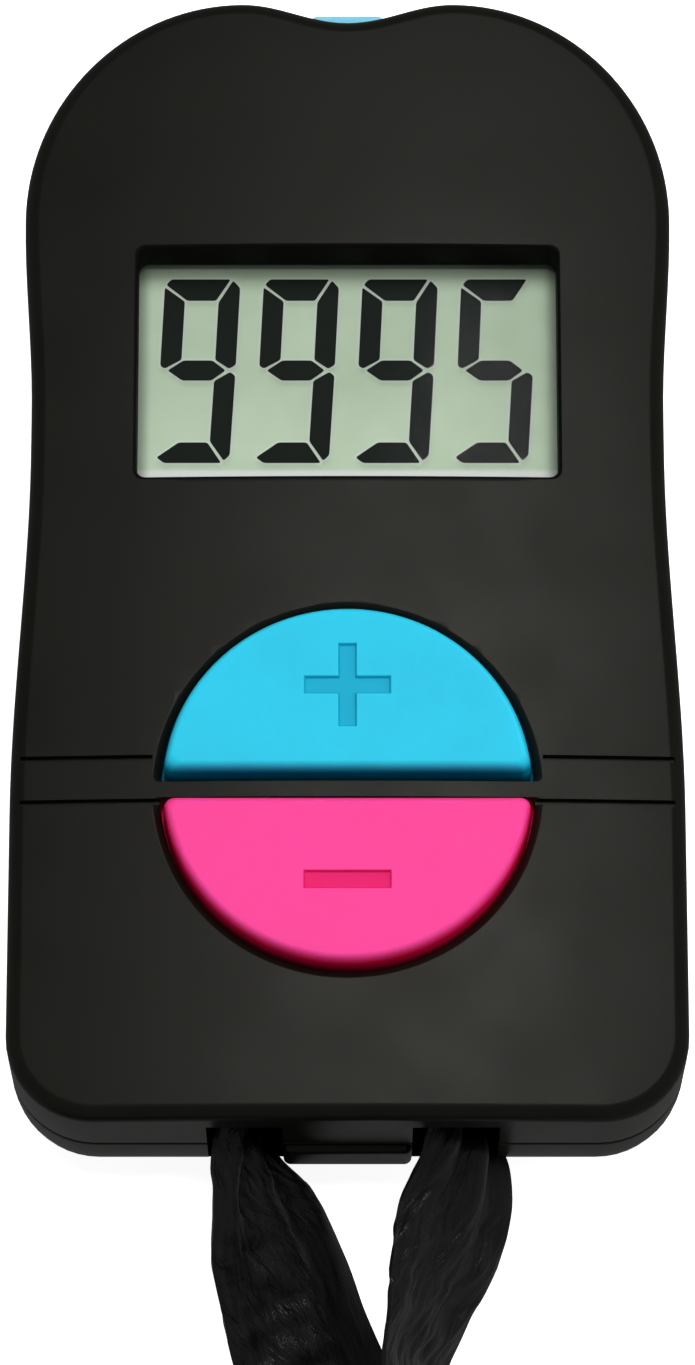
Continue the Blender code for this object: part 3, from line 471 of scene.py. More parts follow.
# ---- case outline ----
def side_half_width(y):
    """Half width of the case between the shoulders and the hips."""
    if y > WAIST_BOTTOM_Y:
        rise = smooth_step((y - WAIST_TOP_Y) / (SHOULDER_Y - WAIST_TOP_Y))
        return WAIST_HALF + (SHOULDER_HALF - WAIST_HALF) * rise
    rise = smooth_step((WAIST_BOTTOM_Y - y) / (WAIST_BOTTOM_Y - HIP_Y))
    return WAIST_HALF + (HIP_HALF - WAIST_HALF) * rise


def right_side(notch_steps=14, shoulder_steps=34, waist_steps=26, corner_steps=12, end_steps=9):
    """The outline's right half, from the notch round to the middle of the bottom end."""
    points = []
    for i in range(notch_steps):
        x = NOTCH_HALF * i / notch_steps
        wave = (1.0 + math.cos(math.pi * x / NOTCH_HALF)) / 2.0
        points.append((x, TOP_Y - NOTCH_DEPTH * wave))
    points += arc((NOTCH_HALF, SHOULDER_Y), (SHOULDER_HALF - NOTCH_HALF, TOP_Y - SHOULDER_Y),
                  90.0, 0.0, shoulder_steps)
    for i in range(1, waist_steps + 1):
        y = SHOULDER_Y + (HIP_Y - SHOULDER_Y) * i / waist_steps
        points.append((side_half_width(y), y))
    corner_x = HIP_HALF - CORNER_R
    points += arc((corner_x, BOTTOM_Y + CORNER_R), (CORNER_R, CORNER_R), 0.0, -90.0, corner_steps)
    for i in range(1, end_steps + 1):
        points.append((corner_x * (1.0 - i / end_steps), BOTTOM_Y))
    return points


def case_outline(inset=0.0):
    """The closed outline, moved inwards by inset: right half down, then left half up."""
    half = right_side()
    loop = half + [(-x, y) for x, y in reversed(half[1:-1])]
    moved = []
    for i, (x, y) in enumerate(loop):
        before = loop[i - 1]
        after = loop[(i + 1) % len(loop)]
        along = Vector((after[0] - before[0], after[1] - before[1])).normalized()
        moved.append((x + along.y * inset, y - along.x * inset))
    return moved


def face_z(x):
    """Height of the crowned front face."""
    return FACE_Z - CROWN_DROP * (x / CROWN_HALF) ** 2


def spine_y(outline, index):
    """Where the row of faces that starts at an outline point meets the centre line."""
    bottom = len(outline) // 2
    row = min(index, len(outline) - index)
    ends = (0, next(i for i in range(bottom) if outline[i][1] < outline[0][1] - TOP_FAN))
    if row > ends[1]:
        first = next(i for i in range(bottom) if outline[i][1] < outline[bottom][1] + BOTTOM_FAN)
        ends = (first, bottom)
    if not ends[0] <= row <= ends[1]:
        return outline[row][1]
    share = (row - ends[0]) / (ends[1] - ends[0])
    return outline[ends[0]][1] + (outline[ends[1]][1] - outline[ends[0]][1]) * share


def face_rings(inset, below, shares):
    """Rings that run from an inset outline to the centre line, below the crowned face."""
    outline = case_outline(inset)
    rings = []
    for share in shares:
        ring = []
        for i, (x, y) in enumerate(outline):
            middle = spine_y(outline, i)
            ring.append((x * share, middle + (y - middle) * share, face_z(x * share) - below))
        rings.append(ring)
    return rings


def edge_ring(inset, below):
    return [(x, y, face_z(x) - below) for x, y in case_outline(inset)]


def front_shell_solid():
    """The front shell's wall and crowned face as one closed skin, outside and inside."""
    rings = [at_height(case_outline(WALL), FRONT_RIM_Z),
             at_height(case_outline(RIM_ROUND), FRONT_RIM_Z),
             at_height(case_outline(RIM_ROUND * 0.3), FRONT_RIM_Z + RIM_ROUND * 0.3),
             at_height(case_outline(), FRONT_RIM_Z + RIM_ROUND)]
    rings += [edge_ring(EDGE_R * (1.0 - out), EDGE_R * (1.0 - up))
              for out, up in arc((0.0, 0.0), (1.0, 1.0), 0.0, 90.0, 8)]
    face_steps = 8
    shares = [1.0 - i / face_steps for i in range(face_steps + 1)]
    rings += face_rings(2.0 * WALL, 0.0, shares)
    middle = len(rings) - 1
    rings += face_rings(2.0 * WALL, WALL, reversed(shares))
    rings += [edge_ring(WALL + 0.5 * MM, WALL), edge_ring(WALL + 0.1 * MM, WALL + 0.1 * MM),
              edge_ring(WALL, WALL + 0.5 * MM)]
    mesh_data = bmesh.new()
    rows = add_rings(mesh_data, rings)
    add_bands(mesh_data, rows[:middle + 1])
    add_bands(mesh_data, rows[middle + 1:] + rows[:1])
    bmesh.ops.remove_doubles(mesh_data, verts=mesh_data.verts, dist=1e-6)
    return from_bmesh("front_case", mesh_data)


def rounded_side(inset, reach, top_z, base_z, steps=10):
    """Section points of a quarter ellipse, from a flat bottom up to a straight wall."""
    return arc((inset + reach, top_z), (-reach, base_z - top_z), 90.0, 0.0, steps)


def rear_shell_solid():
    """The rear cover's wall as one section taken round the outline, with its inner lip."""
    section = rounded_side(0.0, REAR_INSET, REAR_STRAIGHT_Z, 0.0)
    section += [(0.0, REAR_RIM_Z - RIM_ROUND), (RIM_ROUND * 0.3, REAR_RIM_Z - RIM_ROUND * 0.3),
                (RIM_ROUND, REAR_RIM_Z), (LIP_INSET, REAR_RIM_Z), (LIP_INSET, LIP_TOP_Z),
                (LIP_INSET + LIP_WALL, LIP_TOP_Z), (LIP_INSET + LIP_WALL, LIP_FOOT_Z)]
    section += reversed(rounded_side(WALL, REAR_INSET - WALL, REAR_STRAIGHT_Z, WALL))
    mesh_data = bmesh.new()
    rows = add_rings(mesh_data, [at_height(case_outline(inset), z) for inset, z in section])
    add_bands(mesh_data, rows)
    for row in (rows[0], rows[-1]):
        flat = mesh_data.faces.new(row)
        bmesh.ops.triangulate(mesh_data, faces=[flat])
    return from_bmesh("rear_case", mesh_data)


# ---- half-moon outlines ----
def half_moon(radius, flat, corner, side, steps=72, corner_steps=6):
    """A half disc about KEY_Y on one side of the bar, anticlockwise, with rounded corners."""
    reach = math.sqrt((radius - corner) ** 2 - (flat + corner) ** 2)
    tilt = math.degrees(math.atan2(flat + corner, reach))
    round_corner = (corner, corner)
    points = arc((reach, flat + corner), round_corner, -90.0, tilt, corner_steps)[:-1]
    points += arc((0.0, 0.0), (radius, radius), tilt, 180.0 - tilt, steps)
    points += arc((-reach, flat + corner), round_corner, 180.0 - tilt, 270.0, corner_steps)[1:]
    straight_steps = 20
    for i in range(1, straight_steps):
        points.append((-reach + 2.0 * reach * i / straight_steps, flat))
    if side < 0:
        points = [(-x, -y) for x, y in points]
    return [(x, KEY_Y + y) for x, y in points]


def key_levels():
    """(height, radius, distance of the straight edge, corner radius) up a key's outside."""
    levels = [mm(13.7, 12.7, 0.45, 0.5), mm(13.8, 12.8, 0.35, 0.6),
              mm(14.5, 12.8, 0.35, 0.6), mm(14.6, 12.7, 0.45, 0.5),
              (14.6 * MM, KEY_BASE_R + 0.03 * MM, KEY_BASE_FLAT - 0.03 * MM, 0.6 * MM)]
    for out, up in arc((0.0, 0.0), (1.0, 1.0), 0.0, 90.0, 12):
        levels.append((KEY_EDGE_Z + (KEY_TOP_Z - KEY_EDGE_Z) * up,
                       KEY_TOP_R + (KEY_BASE_R - 0.05 * MM - KEY_TOP_R) * out,
                       KEY_TOP_FLAT + (KEY_BASE_FLAT + 0.05 * MM - KEY_TOP_FLAT) * out, 0.6 * MM))
    return levels


def plus_outline(long_half, short_half):
    points = []
    corner = [(long_half, -short_half), (long_half, short_half), (short_half, short_half)]
    for _ in range(4):
        points += corner
        corner = [(-y, x) for x, y in corner]
    return points


def minus_outline(long_half, short_half):
    return [(long_half, -short_half), (long_half, short_half),
            (-long_half, short_half), (-long_half, -short_half)]


def symbol_rings(outline_of, centre_y):
    """A recess with slightly sloping sides."""
    rings = []
    levels = ((KEY_TOP_Z - SYMBOL_DEPTH, -0.04 * MM), (KEY_TOP_Z - 0.1 * MM, 0.0),
              (KEY_TOP_Z + 0.2 * MM, 0.24 * MM))
    for z, growth in levels:
        outline = outline_of(SYMBOL_LENGTH / 2.0 + growth, SYMBOL_WIDTH / 2.0 + growth)
        rings.append([(x, centre_y + y, z) for x, y in outline])
    return rings


# ---- materials ----
def add_node(tree, kind, inputs=None, **settings):
    """A node with its settings, its values and the sockets that it is fed from."""
    node = tree.nodes.new(kind)
    for key, value in settings.items():
        setattr(node, key, value)
    for key, value in (inputs or {}).items():
        if isinstance(value, bpy.types.NodeSocket):
            tree.links.new(value, node.inputs[key])
        else:
            node.inputs[key].default_value = value
    return node


def new_material(name, values):
    """A material, its node tree, its shader, and the object's own coordinates in metres."""
    material = bpy.data.materials.new(name)
    material.use_nodes = True
    tree = material.node_tree
    shader = tree.nodes["Principled BSDF"]
    for key, value in values.items():
        shader.inputs[key].default_value = value
    place = add_node(tree, "ShaderNodeTexCoord").outputs["Object"]
    return material, tree, shader, place


def noise_of(tree, place, size, detail=2.0, roughness=0.5):
    """Noise from 0 to 1 whose lumps are about size across."""
    inputs = {"Vector": place, "Scale": 1.0 / size, "Detail": detail, "Roughness": roughness}
    return add_node(tree, "ShaderNodeTexNoise", inputs).outputs["Fac"]


def mixed(tree, factor, first, second):
    """Two colours mixed by a factor."""
    node = add_node(tree, "ShaderNodeMix", data_type="RGBA")
    for socket, value in ((node.inputs[0], factor), (node.inputs[6], first), (node.inputs[7], second)):
        if isinstance(value, bpy.types.NodeSocket):
            tree.links.new(value, socket)
        else:
            socket.default_value = value
    return node.outputs[2]


def spread(tree, value, low, high, start=0.3, end=0.7):
    """Map a noise value onto a range."""
    inputs = {"Value": value, "From Min": start, "From Max": end, "To Min": low, "To Max": high}
    return add_node(tree, "ShaderNodeMapRange", inputs).outputs["Result"]


def toned(tree, value, first, second):
    """From the first colour to the second, as a noise value rises."""
    return mixed(tree, spread(tree, value, 0.0, 1.0), first, second)


def shade(colour, factor):
    return (*[channel * factor for channel in colour[:3]], 1.0)


def bumped(tree, height, depth, **inputs):
    """A normal for a surface raised by height times depth."""
    values = {"Height": height, "Strength": 1.0, "Distance": depth, **inputs}
    return add_node(tree, "ShaderNodeBump", values).outputs["Normal"]


def feed(tree, shader, colour, roughness, normal=None):
    """Link a shader's colour, roughness and, where there is one, its normal."""
    tree.links.new(colour, shader.inputs["Base Color"])
    tree.links.new(roughness, shader.inputs["Roughness"])
    if normal is not None:
        tree.links.new(normal, shader.inputs["Normal"])


def moulded(name, colour, roughness=0.45, grain=0.16 * MM, depth=0.012 * MM, variation=0.12,
            mottle=6.0 * MM, **values):
    """Moulded plastic or rubber: fine eroded grain, and a faint change of tone and gloss."""
    material, tree, shader, place = new_material(name, values)
    cloud = noise_of(tree, place, mottle, 3.0)
    fine = noise_of(tree, place, grain, 3.0, 0.6)
    tint = toned(tree, cloud, shade(colour, 1.0 - variation), shade(colour, 1.0 + variation))
    rough = spread(tree, cloud, roughness - 0.03, roughness + 0.03)
    feed(tree, shader, tint, rough, bumped(tree, fine, depth))
    return material


def key_plastic(name, colour, shaded_edge_colour, reach):
    """Coloured, slightly translucent plastic, with painted shade: darker and deeper in colour down its
    rounded edge.
    """
    values = {"Specular IOR Level": 0.2, "Subsurface Weight": 0.6, "Subsurface Scale": 1.0 * MM,
              "Subsurface Radius": reach}
    material, tree, shader, place = new_material(name, values)
    height = add_node(tree, "ShaderNodeSeparateXYZ", {"Vector": place}).outputs["Z"]
    cloud = noise_of(tree, place, 5.0 * MM, 3.0)
    fine = noise_of(tree, place, 0.2 * MM, 3.0, 0.6)
    top = toned(tree, cloud, shade(colour, 0.97), shade(colour, 1.03))
    # painted shade: below the key's top the colour turns to the darker edge colour
    painted_edge_shade = spread(tree, height, 1.0, 0.0, KEY_TOP_Z - 0.9 * MM, KEY_TOP_Z - 0.06 * MM)
    feed(tree, shader, mixed(tree, painted_edge_shade, top, shaded_edge_colour), spread(tree, cloud, 0.37, 0.43),
         bumped(tree, fine, 0.004 * MM))
    return material


def metal(name, colour, roughness=0.3, stretch=(1.0, 12.0, 12.0), **values):
    """Rolled or turned metal, with fine lines across and light tarnish."""
    material, tree, shader, place = new_material(name, {"Metallic": 1.0, **values})
    lines_place = add_node(tree, "ShaderNodeMapping", {"Vector": place, "Scale": stretch})
    lines = noise_of(tree, lines_place.outputs["Vector"], 0.6 * MM, 4.0, 0.6)
    cloud = noise_of(tree, place, 2.5 * MM, 3.0)
    tint = toned(tree, cloud, shade(colour, 0.82), shade(colour, 1.08))
    rough = spread(tree, lines, roughness - 0.07, roughness + 0.1)
    feed(tree, shader, tint, rough, bumped(tree, lines, 0.004 * MM))
    return material


def clear_plastic(name, colour, alpha):
    """A clear sheet with faint wipe marks in its gloss."""
    values = {"Alpha": alpha, "IOR": 1.49, "Specular IOR Level": 0.4}
    material, tree, shader, place = new_material(name, values)
    smear = noise_of(tree, place, 4.0 * MM, 4.0)
    feed(tree, shader, mixed(tree, smear, shade(colour, 0.8), colour),
         spread(tree, smear, 0.03, 0.1))
    return material


def display_ground(name):
    """Grey-green display background, darkened where the painted shade attribute says."""
    material, tree, shader, place = new_material(name, {"IOR": 1.5, "Specular IOR Level": 0.3})
    tone = add_node(tree, "ShaderNodeAttribute", attribute_name="shade").outputs["Fac"]
    cloud = noise_of(tree, place, 5.0 * MM, 3.0)
    fine = noise_of(tree, place, 0.08 * MM, 2.0)
    ground = toned(tree, cloud, rgb(189, 214, 181), rgb(205, 226, 198))
    sparkle = mixed(tree, spread(tree, fine, 0.0, 0.25), ground, rgb(212, 222, 208))
    rim = add_node(tree, "ShaderNodeAttribute", attribute_name="rim").outputs["Fac"]
    rimmed = mixed(tree, rim, sparkle, rgb(232, 236, 233))
    shaded = mixed(tree, tone, rgb(58, 64, 60), rimmed)
    feed(tree, shader, shaded, spread(tree, fine, 0.5, 0.65))
    return material


def circuit_board(name):
    """Green solder mask over faint copper tracks."""
    material, tree, shader, place = new_material(name, {"Coat Weight": 0.3})
    tracks = add_node(tree, "ShaderNodeTexBrick",
                      {"Vector": place, "Scale": 160.0, "Mortar Size": 0.05,
                       "Color1": rgb(24, 92, 56), "Color2": rgb(27, 98, 60),
                       "Mortar": rgb(52, 128, 78)})
    fine = noise_of(tree, place, 0.4 * MM, 3.0)
    tint = mixed(tree, spread(tree, fine, 0.0, 0.3), tracks.outputs["Color"], rgb(20, 80, 50))
    feed(tree, shader, tint, spread(tree, fine, 0.35, 0.5),
         bumped(tree, tracks.outputs["Fac"], 0.03 * MM))
    return material


def striped_rubber(name):
    """Conductive and plain layers by turns, as in a display's connecting strip."""
    material, tree, shader, place = new_material(name, {})
    bands = add_node(tree, "ShaderNodeTexWave", {"Vector": place, "Scale": 1200.0},
                     bands_direction="X")
    tint = toned(tree, bands.outputs["Fac"], rgb(28, 28, 29), rgb(120, 122, 120))
    tree.links.new(tint, shader.inputs["Base Color"])
    shader.inputs["Roughness"].default_value = 0.7
    return material


def sine_of(tree, value, period):
    angle = add_node(tree, "ShaderNodeMath", {0: value, 1: 2.0 * math.pi / period},
                     operation="MULTIPLY")
    return add_node(tree, "ShaderNodeMath", {0: angle.outputs[0]}, operation="SINE").outputs[0]


def satin(name):
    """Woven black satin: fine ribs across the ribbon and streaks of sheen along it."""
    values = {"Anisotropic": 0.3, "Sheen Weight": 0.03, "Sheen Roughness": 0.4,
              "Specular IOR Level": 0.5}
    material, tree, shader, _ = new_material(name, values)
    uv = add_node(tree, "ShaderNodeUVMap", uv_map="ribbon").outputs["UV"]
    parts = add_node(tree, "ShaderNodeSeparateXYZ", {"Vector": uv})
    ribs = sine_of(tree, parts.outputs["Y"], 0.36 * MM)
    threads = sine_of(tree, parts.outputs["X"], 0.3 * MM)
    weave = add_node(tree, "ShaderNodeMath", {0: ribs, 1: threads}, operation="MULTIPLY").outputs[0]
    stretched = add_node(tree, "ShaderNodeMapping", {"Vector": uv, "Scale": (1.0, 0.08, 1.0)})
    streaks = noise_of(tree, stretched.outputs["Vector"], 0.35 * MM, 4.0, 0.6)
    tint = toned(tree, streaks, rgb(7, 7, 8), rgb(20, 20, 20))
    slanted = add_node(tree, "ShaderNodeMapping", {"Vector": uv, "Rotation": (0.0, 0.0, -0.42),
                                                   "Scale": (1.0, 5.0, 1.0)},
                       vector_type="TEXTURE")
    creases = noise_of(tree, slanted.outputs["Vector"], 0.34 * MM, 2.5, 0.6)
    crush = add_node(tree, "ShaderNodeAttribute", attribute_name="crush").outputs["Fac"]
    woven = bumped(tree, weave, 0.006 * MM)
    normal = bumped(tree, creases, 0.42 * MM, Strength=crush, Normal=woven)
    feed(tree, shader, tint, spread(tree, streaks, 0.25, 0.38), normal)
    return material


def floor_material():
    material, tree, shader, place = new_material("pale_floor", {"Specular IOR Level": 0.1})
    cloud = noise_of(tree, place, 120.0 * MM, 2.0)
    tree.links.new(mixed(tree, cloud, rgb(246, 246, 245), rgb(250, 250, 249)),
                   shader.inputs["Base Color"])
    shader.inputs["Roughness"].default_value = 0.9
    shader.inputs["Emission Color"].default_value = (1.0, 1.0, 1.0, 1.0)
    shader.inputs["Emission Strength"].default_value = 0.9
    return material


# ---- stage ----
def aim(obj, place, target):
    obj.location = place
    direction = Vector(target) - Vector(place)
    obj.rotation_euler = direction.to_track_quat("-Z", "Y").to_euler()


def add_camera():
    """A view from the ribbon's end, about 17 degrees off square."""
    data = bpy.data.cameras.new("camera")
    data.lens = CAMERA_LENS
    data.sensor_width = 36.0
    data.clip_start = 0.01
    data.clip_end = 60.0
    camera = link(bpy.data.objects.new("camera", data))
    aim(camera, CAMERA_PLACE, CAMERA_TARGET)
    bpy.context.scene.camera = camera


def add_light(name, place, size, watts, glossy=True):
    """An area lamp; one that isn't glossy lights surfaces but isn't mirrored in them."""
    data = bpy.data.lights.new(name, "AREA")
    data.shape = "RECTANGLE"
    data.size, data.size_y = size
    data.energy = watts
    light = link(bpy.data.objects.new(name, data))
    light.visible_glossy = glossy
    aim(light, place, (0.0, 0.0, 0.0))


def add_floor():
    """A pale floor just under the counter, which its gloss doesn't mirror."""
    mesh_data = bmesh.new()
    bmesh.ops.create_grid(mesh_data, x_segments=1, y_segments=1, size=FLOOR_HALF)
    floor = from_bmesh("floor", mesh_data)
    floor.location.z = FLOOR_Z
    floor.data.materials.append(floor_material())
    floor.visible_glossy = False


def add_stage():
    add_floor()
    world = bpy.data.worlds.new("studio")
    bpy.context.scene.world = world
    world.use_nodes = True
    background = world.node_tree.nodes["Background"]
    background.inputs["Color"].default_value = (1.0, 1.0, 1.0, 1.0)
    background.inputs["Strength"].default_value = 0.14
    add_light("overhead_softbox", (0.03, 0.16, 0.95), (0.5, 0.5), 7.6, glossy=False)
    add_light("mirrored_softbox", (0.055, 0.215, 0.875), (0.13, 0.24), 0.56)
    add_light("right_softbox", (0.6, 0.0, 0.35), (0.4, 0.5), 1.2, glossy=False)
    bpy.context.scene.view_settings.view_transform = "Standard"


# ---- neck ribbon ----
def catmull_rom(points, spacing):
    """Points about spacing apart on a smooth curve through the given points."""
    places = [Vector(point) for point in points]
    padded = [places[0] * 2.0 - places[1], *places, places[-1] * 2.0 - places[-2]]
    curve = []
    for before, start, end, after in zip(padded, padded[1:], padded[2:], padded[3:]):
        steps = max(1, round((end - start).length / spacing))
        for i in range(steps):
            t = i / steps
            curve.append(0.5 * (2.0 * start + (end - before) * t
                                + (2.0 * before - 5.0 * start + 4.0 * end - after) * t * t
                                + (3.0 * start - before - 3.0 * end + after) * t * t * t))
    curve.append(places[-1])
    return curve


def spiral(start_radius, turn, spacing):
    """Clockwise turns round the coil's centre, closing in by two layers a turn."""
    steps = round(turn * start_radius / spacing)
    points = []
    for i in range(steps + 1):
        angle = turn * i / steps
        radius = start_radius - 2.0 * COIL_LAYER * angle / (2.0 * math.pi)
        points.append(Vector((COIL_CENTRE[0] + radius * math.cos(-angle),
                              COIL_CENTRE[1] + radius * math.sin(-angle), COIL_Z)))
    return points


def middle_turns(first, last, spacing):
    """Two half circles that take one end of the loop's coil to the other through its centre."""
    centre = Vector((*COIL_CENTRE, COIL_Z))
    points = []
    for start, end, way in ((first, centre, -1.0), (centre, last, 1.0)):
        middle = (start + end) / 2.0
        arm = start - middle
        steps = round(math.pi * arm.length / spacing)
        for i in range(1, steps):
            points.append(middle + Matrix.Rotation(way * math.pi * i / steps, 3, "Z") @ arm)
        if end is centre:
            points.append(centre)
    return points


def ribbon_line(spacing):
    """The loop's centreline, from behind the bar, round the coil and back."""
    inner = spiral(COIL_INNER_START, COIL_TURN_ANGLE, 3.0 * MM)
    outer = spiral(COIL_INNER_START + COIL_LAYER, COIL_TURN_ANGLE + math.pi, 3.0 * MM)
    left = [Vector(point) * MM for point in LEFT_STRAND]
    right = [Vector(point) * MM for point in RIGHT_STRAND]
    points = left + inner + middle_turns(inner[-1], outer[-1], 3.0 * MM)
    points += list(reversed(outer)) + list(reversed(right))
    return catmull_rom(points, spacing)


def hermite(table, at):
    """A smooth curve through a table of (place, value)."""
    if at <= table[0][0]:
        return table[0][1]
    if at >= table[-1][0]:
        return table[-1][1]
    k = next(i for i in range(len(table) - 1) if at <= table[i + 1][0])
    (x0, y0), (x1, y1) = table[k], table[k + 1]
    slopes = []
    for i in (k, k + 1):
        low, high = table[max(i - 1, 0)], table[min(i + 1, len(table) - 1)]
        slopes.append((high[1] - low[1]) / (high[0] - low[0]))
    width = x1 - x0
    t = (at - x0) / width
    return (y0 * (2 * t ** 3 - 3 * t ** 2 + 1) + slopes[0] * width * (t ** 3 - 2 * t ** 2 + t)
            + y1 * (3 * t ** 2 - 2 * t ** 3) + slopes[1] * width * (t ** 3 - t ** 2))


# Each table runs along a strand in mm from behind the bar. Twist is the ribbon's slope to the
# floor in degrees, fold is how much further its far half slopes, and pleat and crease are the
# swing of its slope in radians, in the broad and in the fine gathers.
LEFT = {
    "twist": ((0, 90), (5, 90), (8.6, 69), (10, 58), (12, 43), (14.4, 25), (17, 13), (21, 2),
              (26, 6), (31, 32), (36, 72), (41, 88), (45, 90)),
    "fold": ((0, 0), (9, 0), (13, 14), (17, 31), (22, 33), (27, 28), (33, 8), (37, 0)),
    "pleat": ((0, 0.95), (6, 1.1), (8.6, 1.2), (10, 1.12), (12, 0.86), (14.4, 0.52), (17, 0.3),
              (21, 0.14), (26, 0.08), (34, 0.03)),
    "crease": ((0, 0.1), (8, 0.35), (12, 0.55), (20, 0.55), (27, 0.3), (34, 0.03)),
    "lift": ((0, 1.0), (8.6, 1.0), (12, 0.5), (16, 0.0)),
    "shift": ((0, 0.0), (8.6, 0.2), (11.3, 0.95), (14, 1.05), (18, 1.0), (22, 0.45), (28, 0.0)),
}
RIGHT = {
    "twist": ((0, 90), (5, 90), (8.7, 50), (10, 35), (11.5, 30), (13.5, 36), (15.2, 44), (17, 54),
              (18.8, 60), (21, 65), (24, 69), (30, 80), (36, 90)),
    "fold": ((0, 0), (8, 20), (11, 30), (13.5, 16), (15.2, 10), (17, 0)),
    "pleat": ((0, 0.9), (6, 0.95), (9, 0.9), (11.5, 0.6), (14, 0.46), (17, 0.35), (21, 0.2),
              (26, 0.1), (34, 0.03)),
    "crease": ((0, 0.1), (8, 0.35), (12, 0.55), (20, 0.45), (27, 0.3), (34, 0.03)),
    "lift": ((0, 1.0), (8.6, 1.0), (12, 0.5), (16, 0.0)),
    "shift": ((0, 0.0), (8.6, 0.2), (12, -0.38), (17, -0.85), (20, -1.1), (24, -1.5), (30, -1.2),
              (38, 0.0)),
}
PLEATS_ACROSS = 2.5
PLEAT_DRIFT = 0.16                 # radians for each mm along
PLEAT_START = 1.3                  # radians, the other way on the left strand
CREASE_SIZE = 0.42                 # mm across, and six times as long
CREASE_APART = 7.0                 # keeps the strands' creases unlike
CREASE_LEAN = 0.45
FOLD_WIDTH = 1.2                   # mm over which the fold turns
FOLD_PLACE = {-1: 1.3, 1: 0.6}     # mm from the ribbon's middle, by strand
CREASE_SWING = 2.2


def crush_of(u, along, strand, side):
    """How crumpled the ribbon is at u mm from its middle.

    It is smooth past the left strand's fold, and on the right strand's far half near its slot.
    """
    crush = hermite(strand["crease"], along)
    if side < 0:
        smooth = smooth_step((u - FOLD_PLACE[side]) / 0.8) * smooth_step((along - 13.0) / 4.0)
    else:
        smooth = smooth_step(0.3 + u / 1.6) * smooth_step((14.5 - along) / 3.0)
    return crush * (1.0 - smooth)


def section_slope(u, along, strand, side):
    """The ribbon's slope to the floor at u mm from its middle in radians, creases left out."""
    turned_part = smooth_step((u - FOLD_PLACE[side]) / FOLD_WIDTH + 0.5)
    twist = math.radians(hermite(strand["twist"], along))
    fold = math.radians(hermite(strand["fold"], along)) * turned_part
    base = -(twist + fold) if side < 0 else twist + fold - math.pi
    wave = (2.0 * math.pi * PLEATS_ACROSS * u / (RIBBON_WIDTH / MM) + PLEAT_DRIFT * along
            + PLEAT_START * side)
    return base + hermite(strand["pleat"], along) * math.cos(wave)


def crease_slope(u, along, strand, side):
    """The creases' own slope in radians."""
    place = Vector(((u + side * CREASE_LEAN * along) / CREASE_SIZE, along / (6.0 * CREASE_SIZE),
                    CREASE_APART * side))
    return crush_of(u, along, strand, side) * CREASE_SWING * noise.noise(place)


def ribbon_section(along, strand, side):
    """Offsets across and up, in mm, of points equally spaced over the ribbon's width."""
    half = RIBBON_WIDTH / MM / 2.0
    step = 2.0 * half / RIBBON_COLUMNS
    plain, creased = [Vector((0.0, 0.0))], [Vector((0.0, 0.0))]
    for i in range(RIBBON_COLUMNS):
        u = -half + (i + 0.5) * step
        slope = section_slope(u, along, strand, side)
        bent = slope + crease_slope(u, along, strand, side)
        plain.append(plain[-1] + Vector((math.cos(slope), math.sin(slope))) * step)
        creased.append(creased[-1] + Vector((math.cos(bent), math.sin(bent))) * step)
    drift = creased[-1] - plain[-1]
    points = [point - drift * (i / RIBBON_COLUMNS) for i, point in enumerate(creased)]
    middle = Vector([(min(point[k] for point in plain) + max(point[k] for point in plain)) / 2.0
                     for k in (0, 1)])
    return [tuple(point - middle) for point in points]


def ribbon_stations(fine):
    """Places of the strip's rows as (index on the line, distance gone), and the line's length."""
    walked = [0.0]
    for before, after in zip(fine, fine[1:]):
        walked.append(walked[-1] + (after - before).length)
    stations = []
    for i, gone in enumerate(walked):
        near = min(gone, walked[-1] - gone)
        spacing = FINE_SPACING if near < FINE_LENGTH else COIL_SPACING
        if not stations or gone - stations[-1][1] >= spacing * 0.98 or i == len(fine) - 1:
            stations.append((i, gone))
    return stations, walked[-1]


def ribbon_row(fine, i, along, strand, side):
    """The strip's points across it at one place on its line, and their centre."""
    tangent = (fine[min(i + 1, len(fine) - 1)] - fine[max(i - 1, 0)]).normalized()
    level = Vector((0.0, 0.0, 1.0)).cross(tangent).normalized()
    upward = tangent.cross(level)
    section = ribbon_section(along, strand, side)
    shift, lift = hermite(strand["shift"], along), hermite(strand["lift"], along)
    centre = fine[i] + Vector((shift * MM, 0.0, lift * MM))
    lowest = min(up for _, up in section) * MM
    centre.z = max(centre.z, RIBBON_CLEARANCE - lowest)
    return [centre + level * across * MM + upward * up * MM for across, up in section], centre


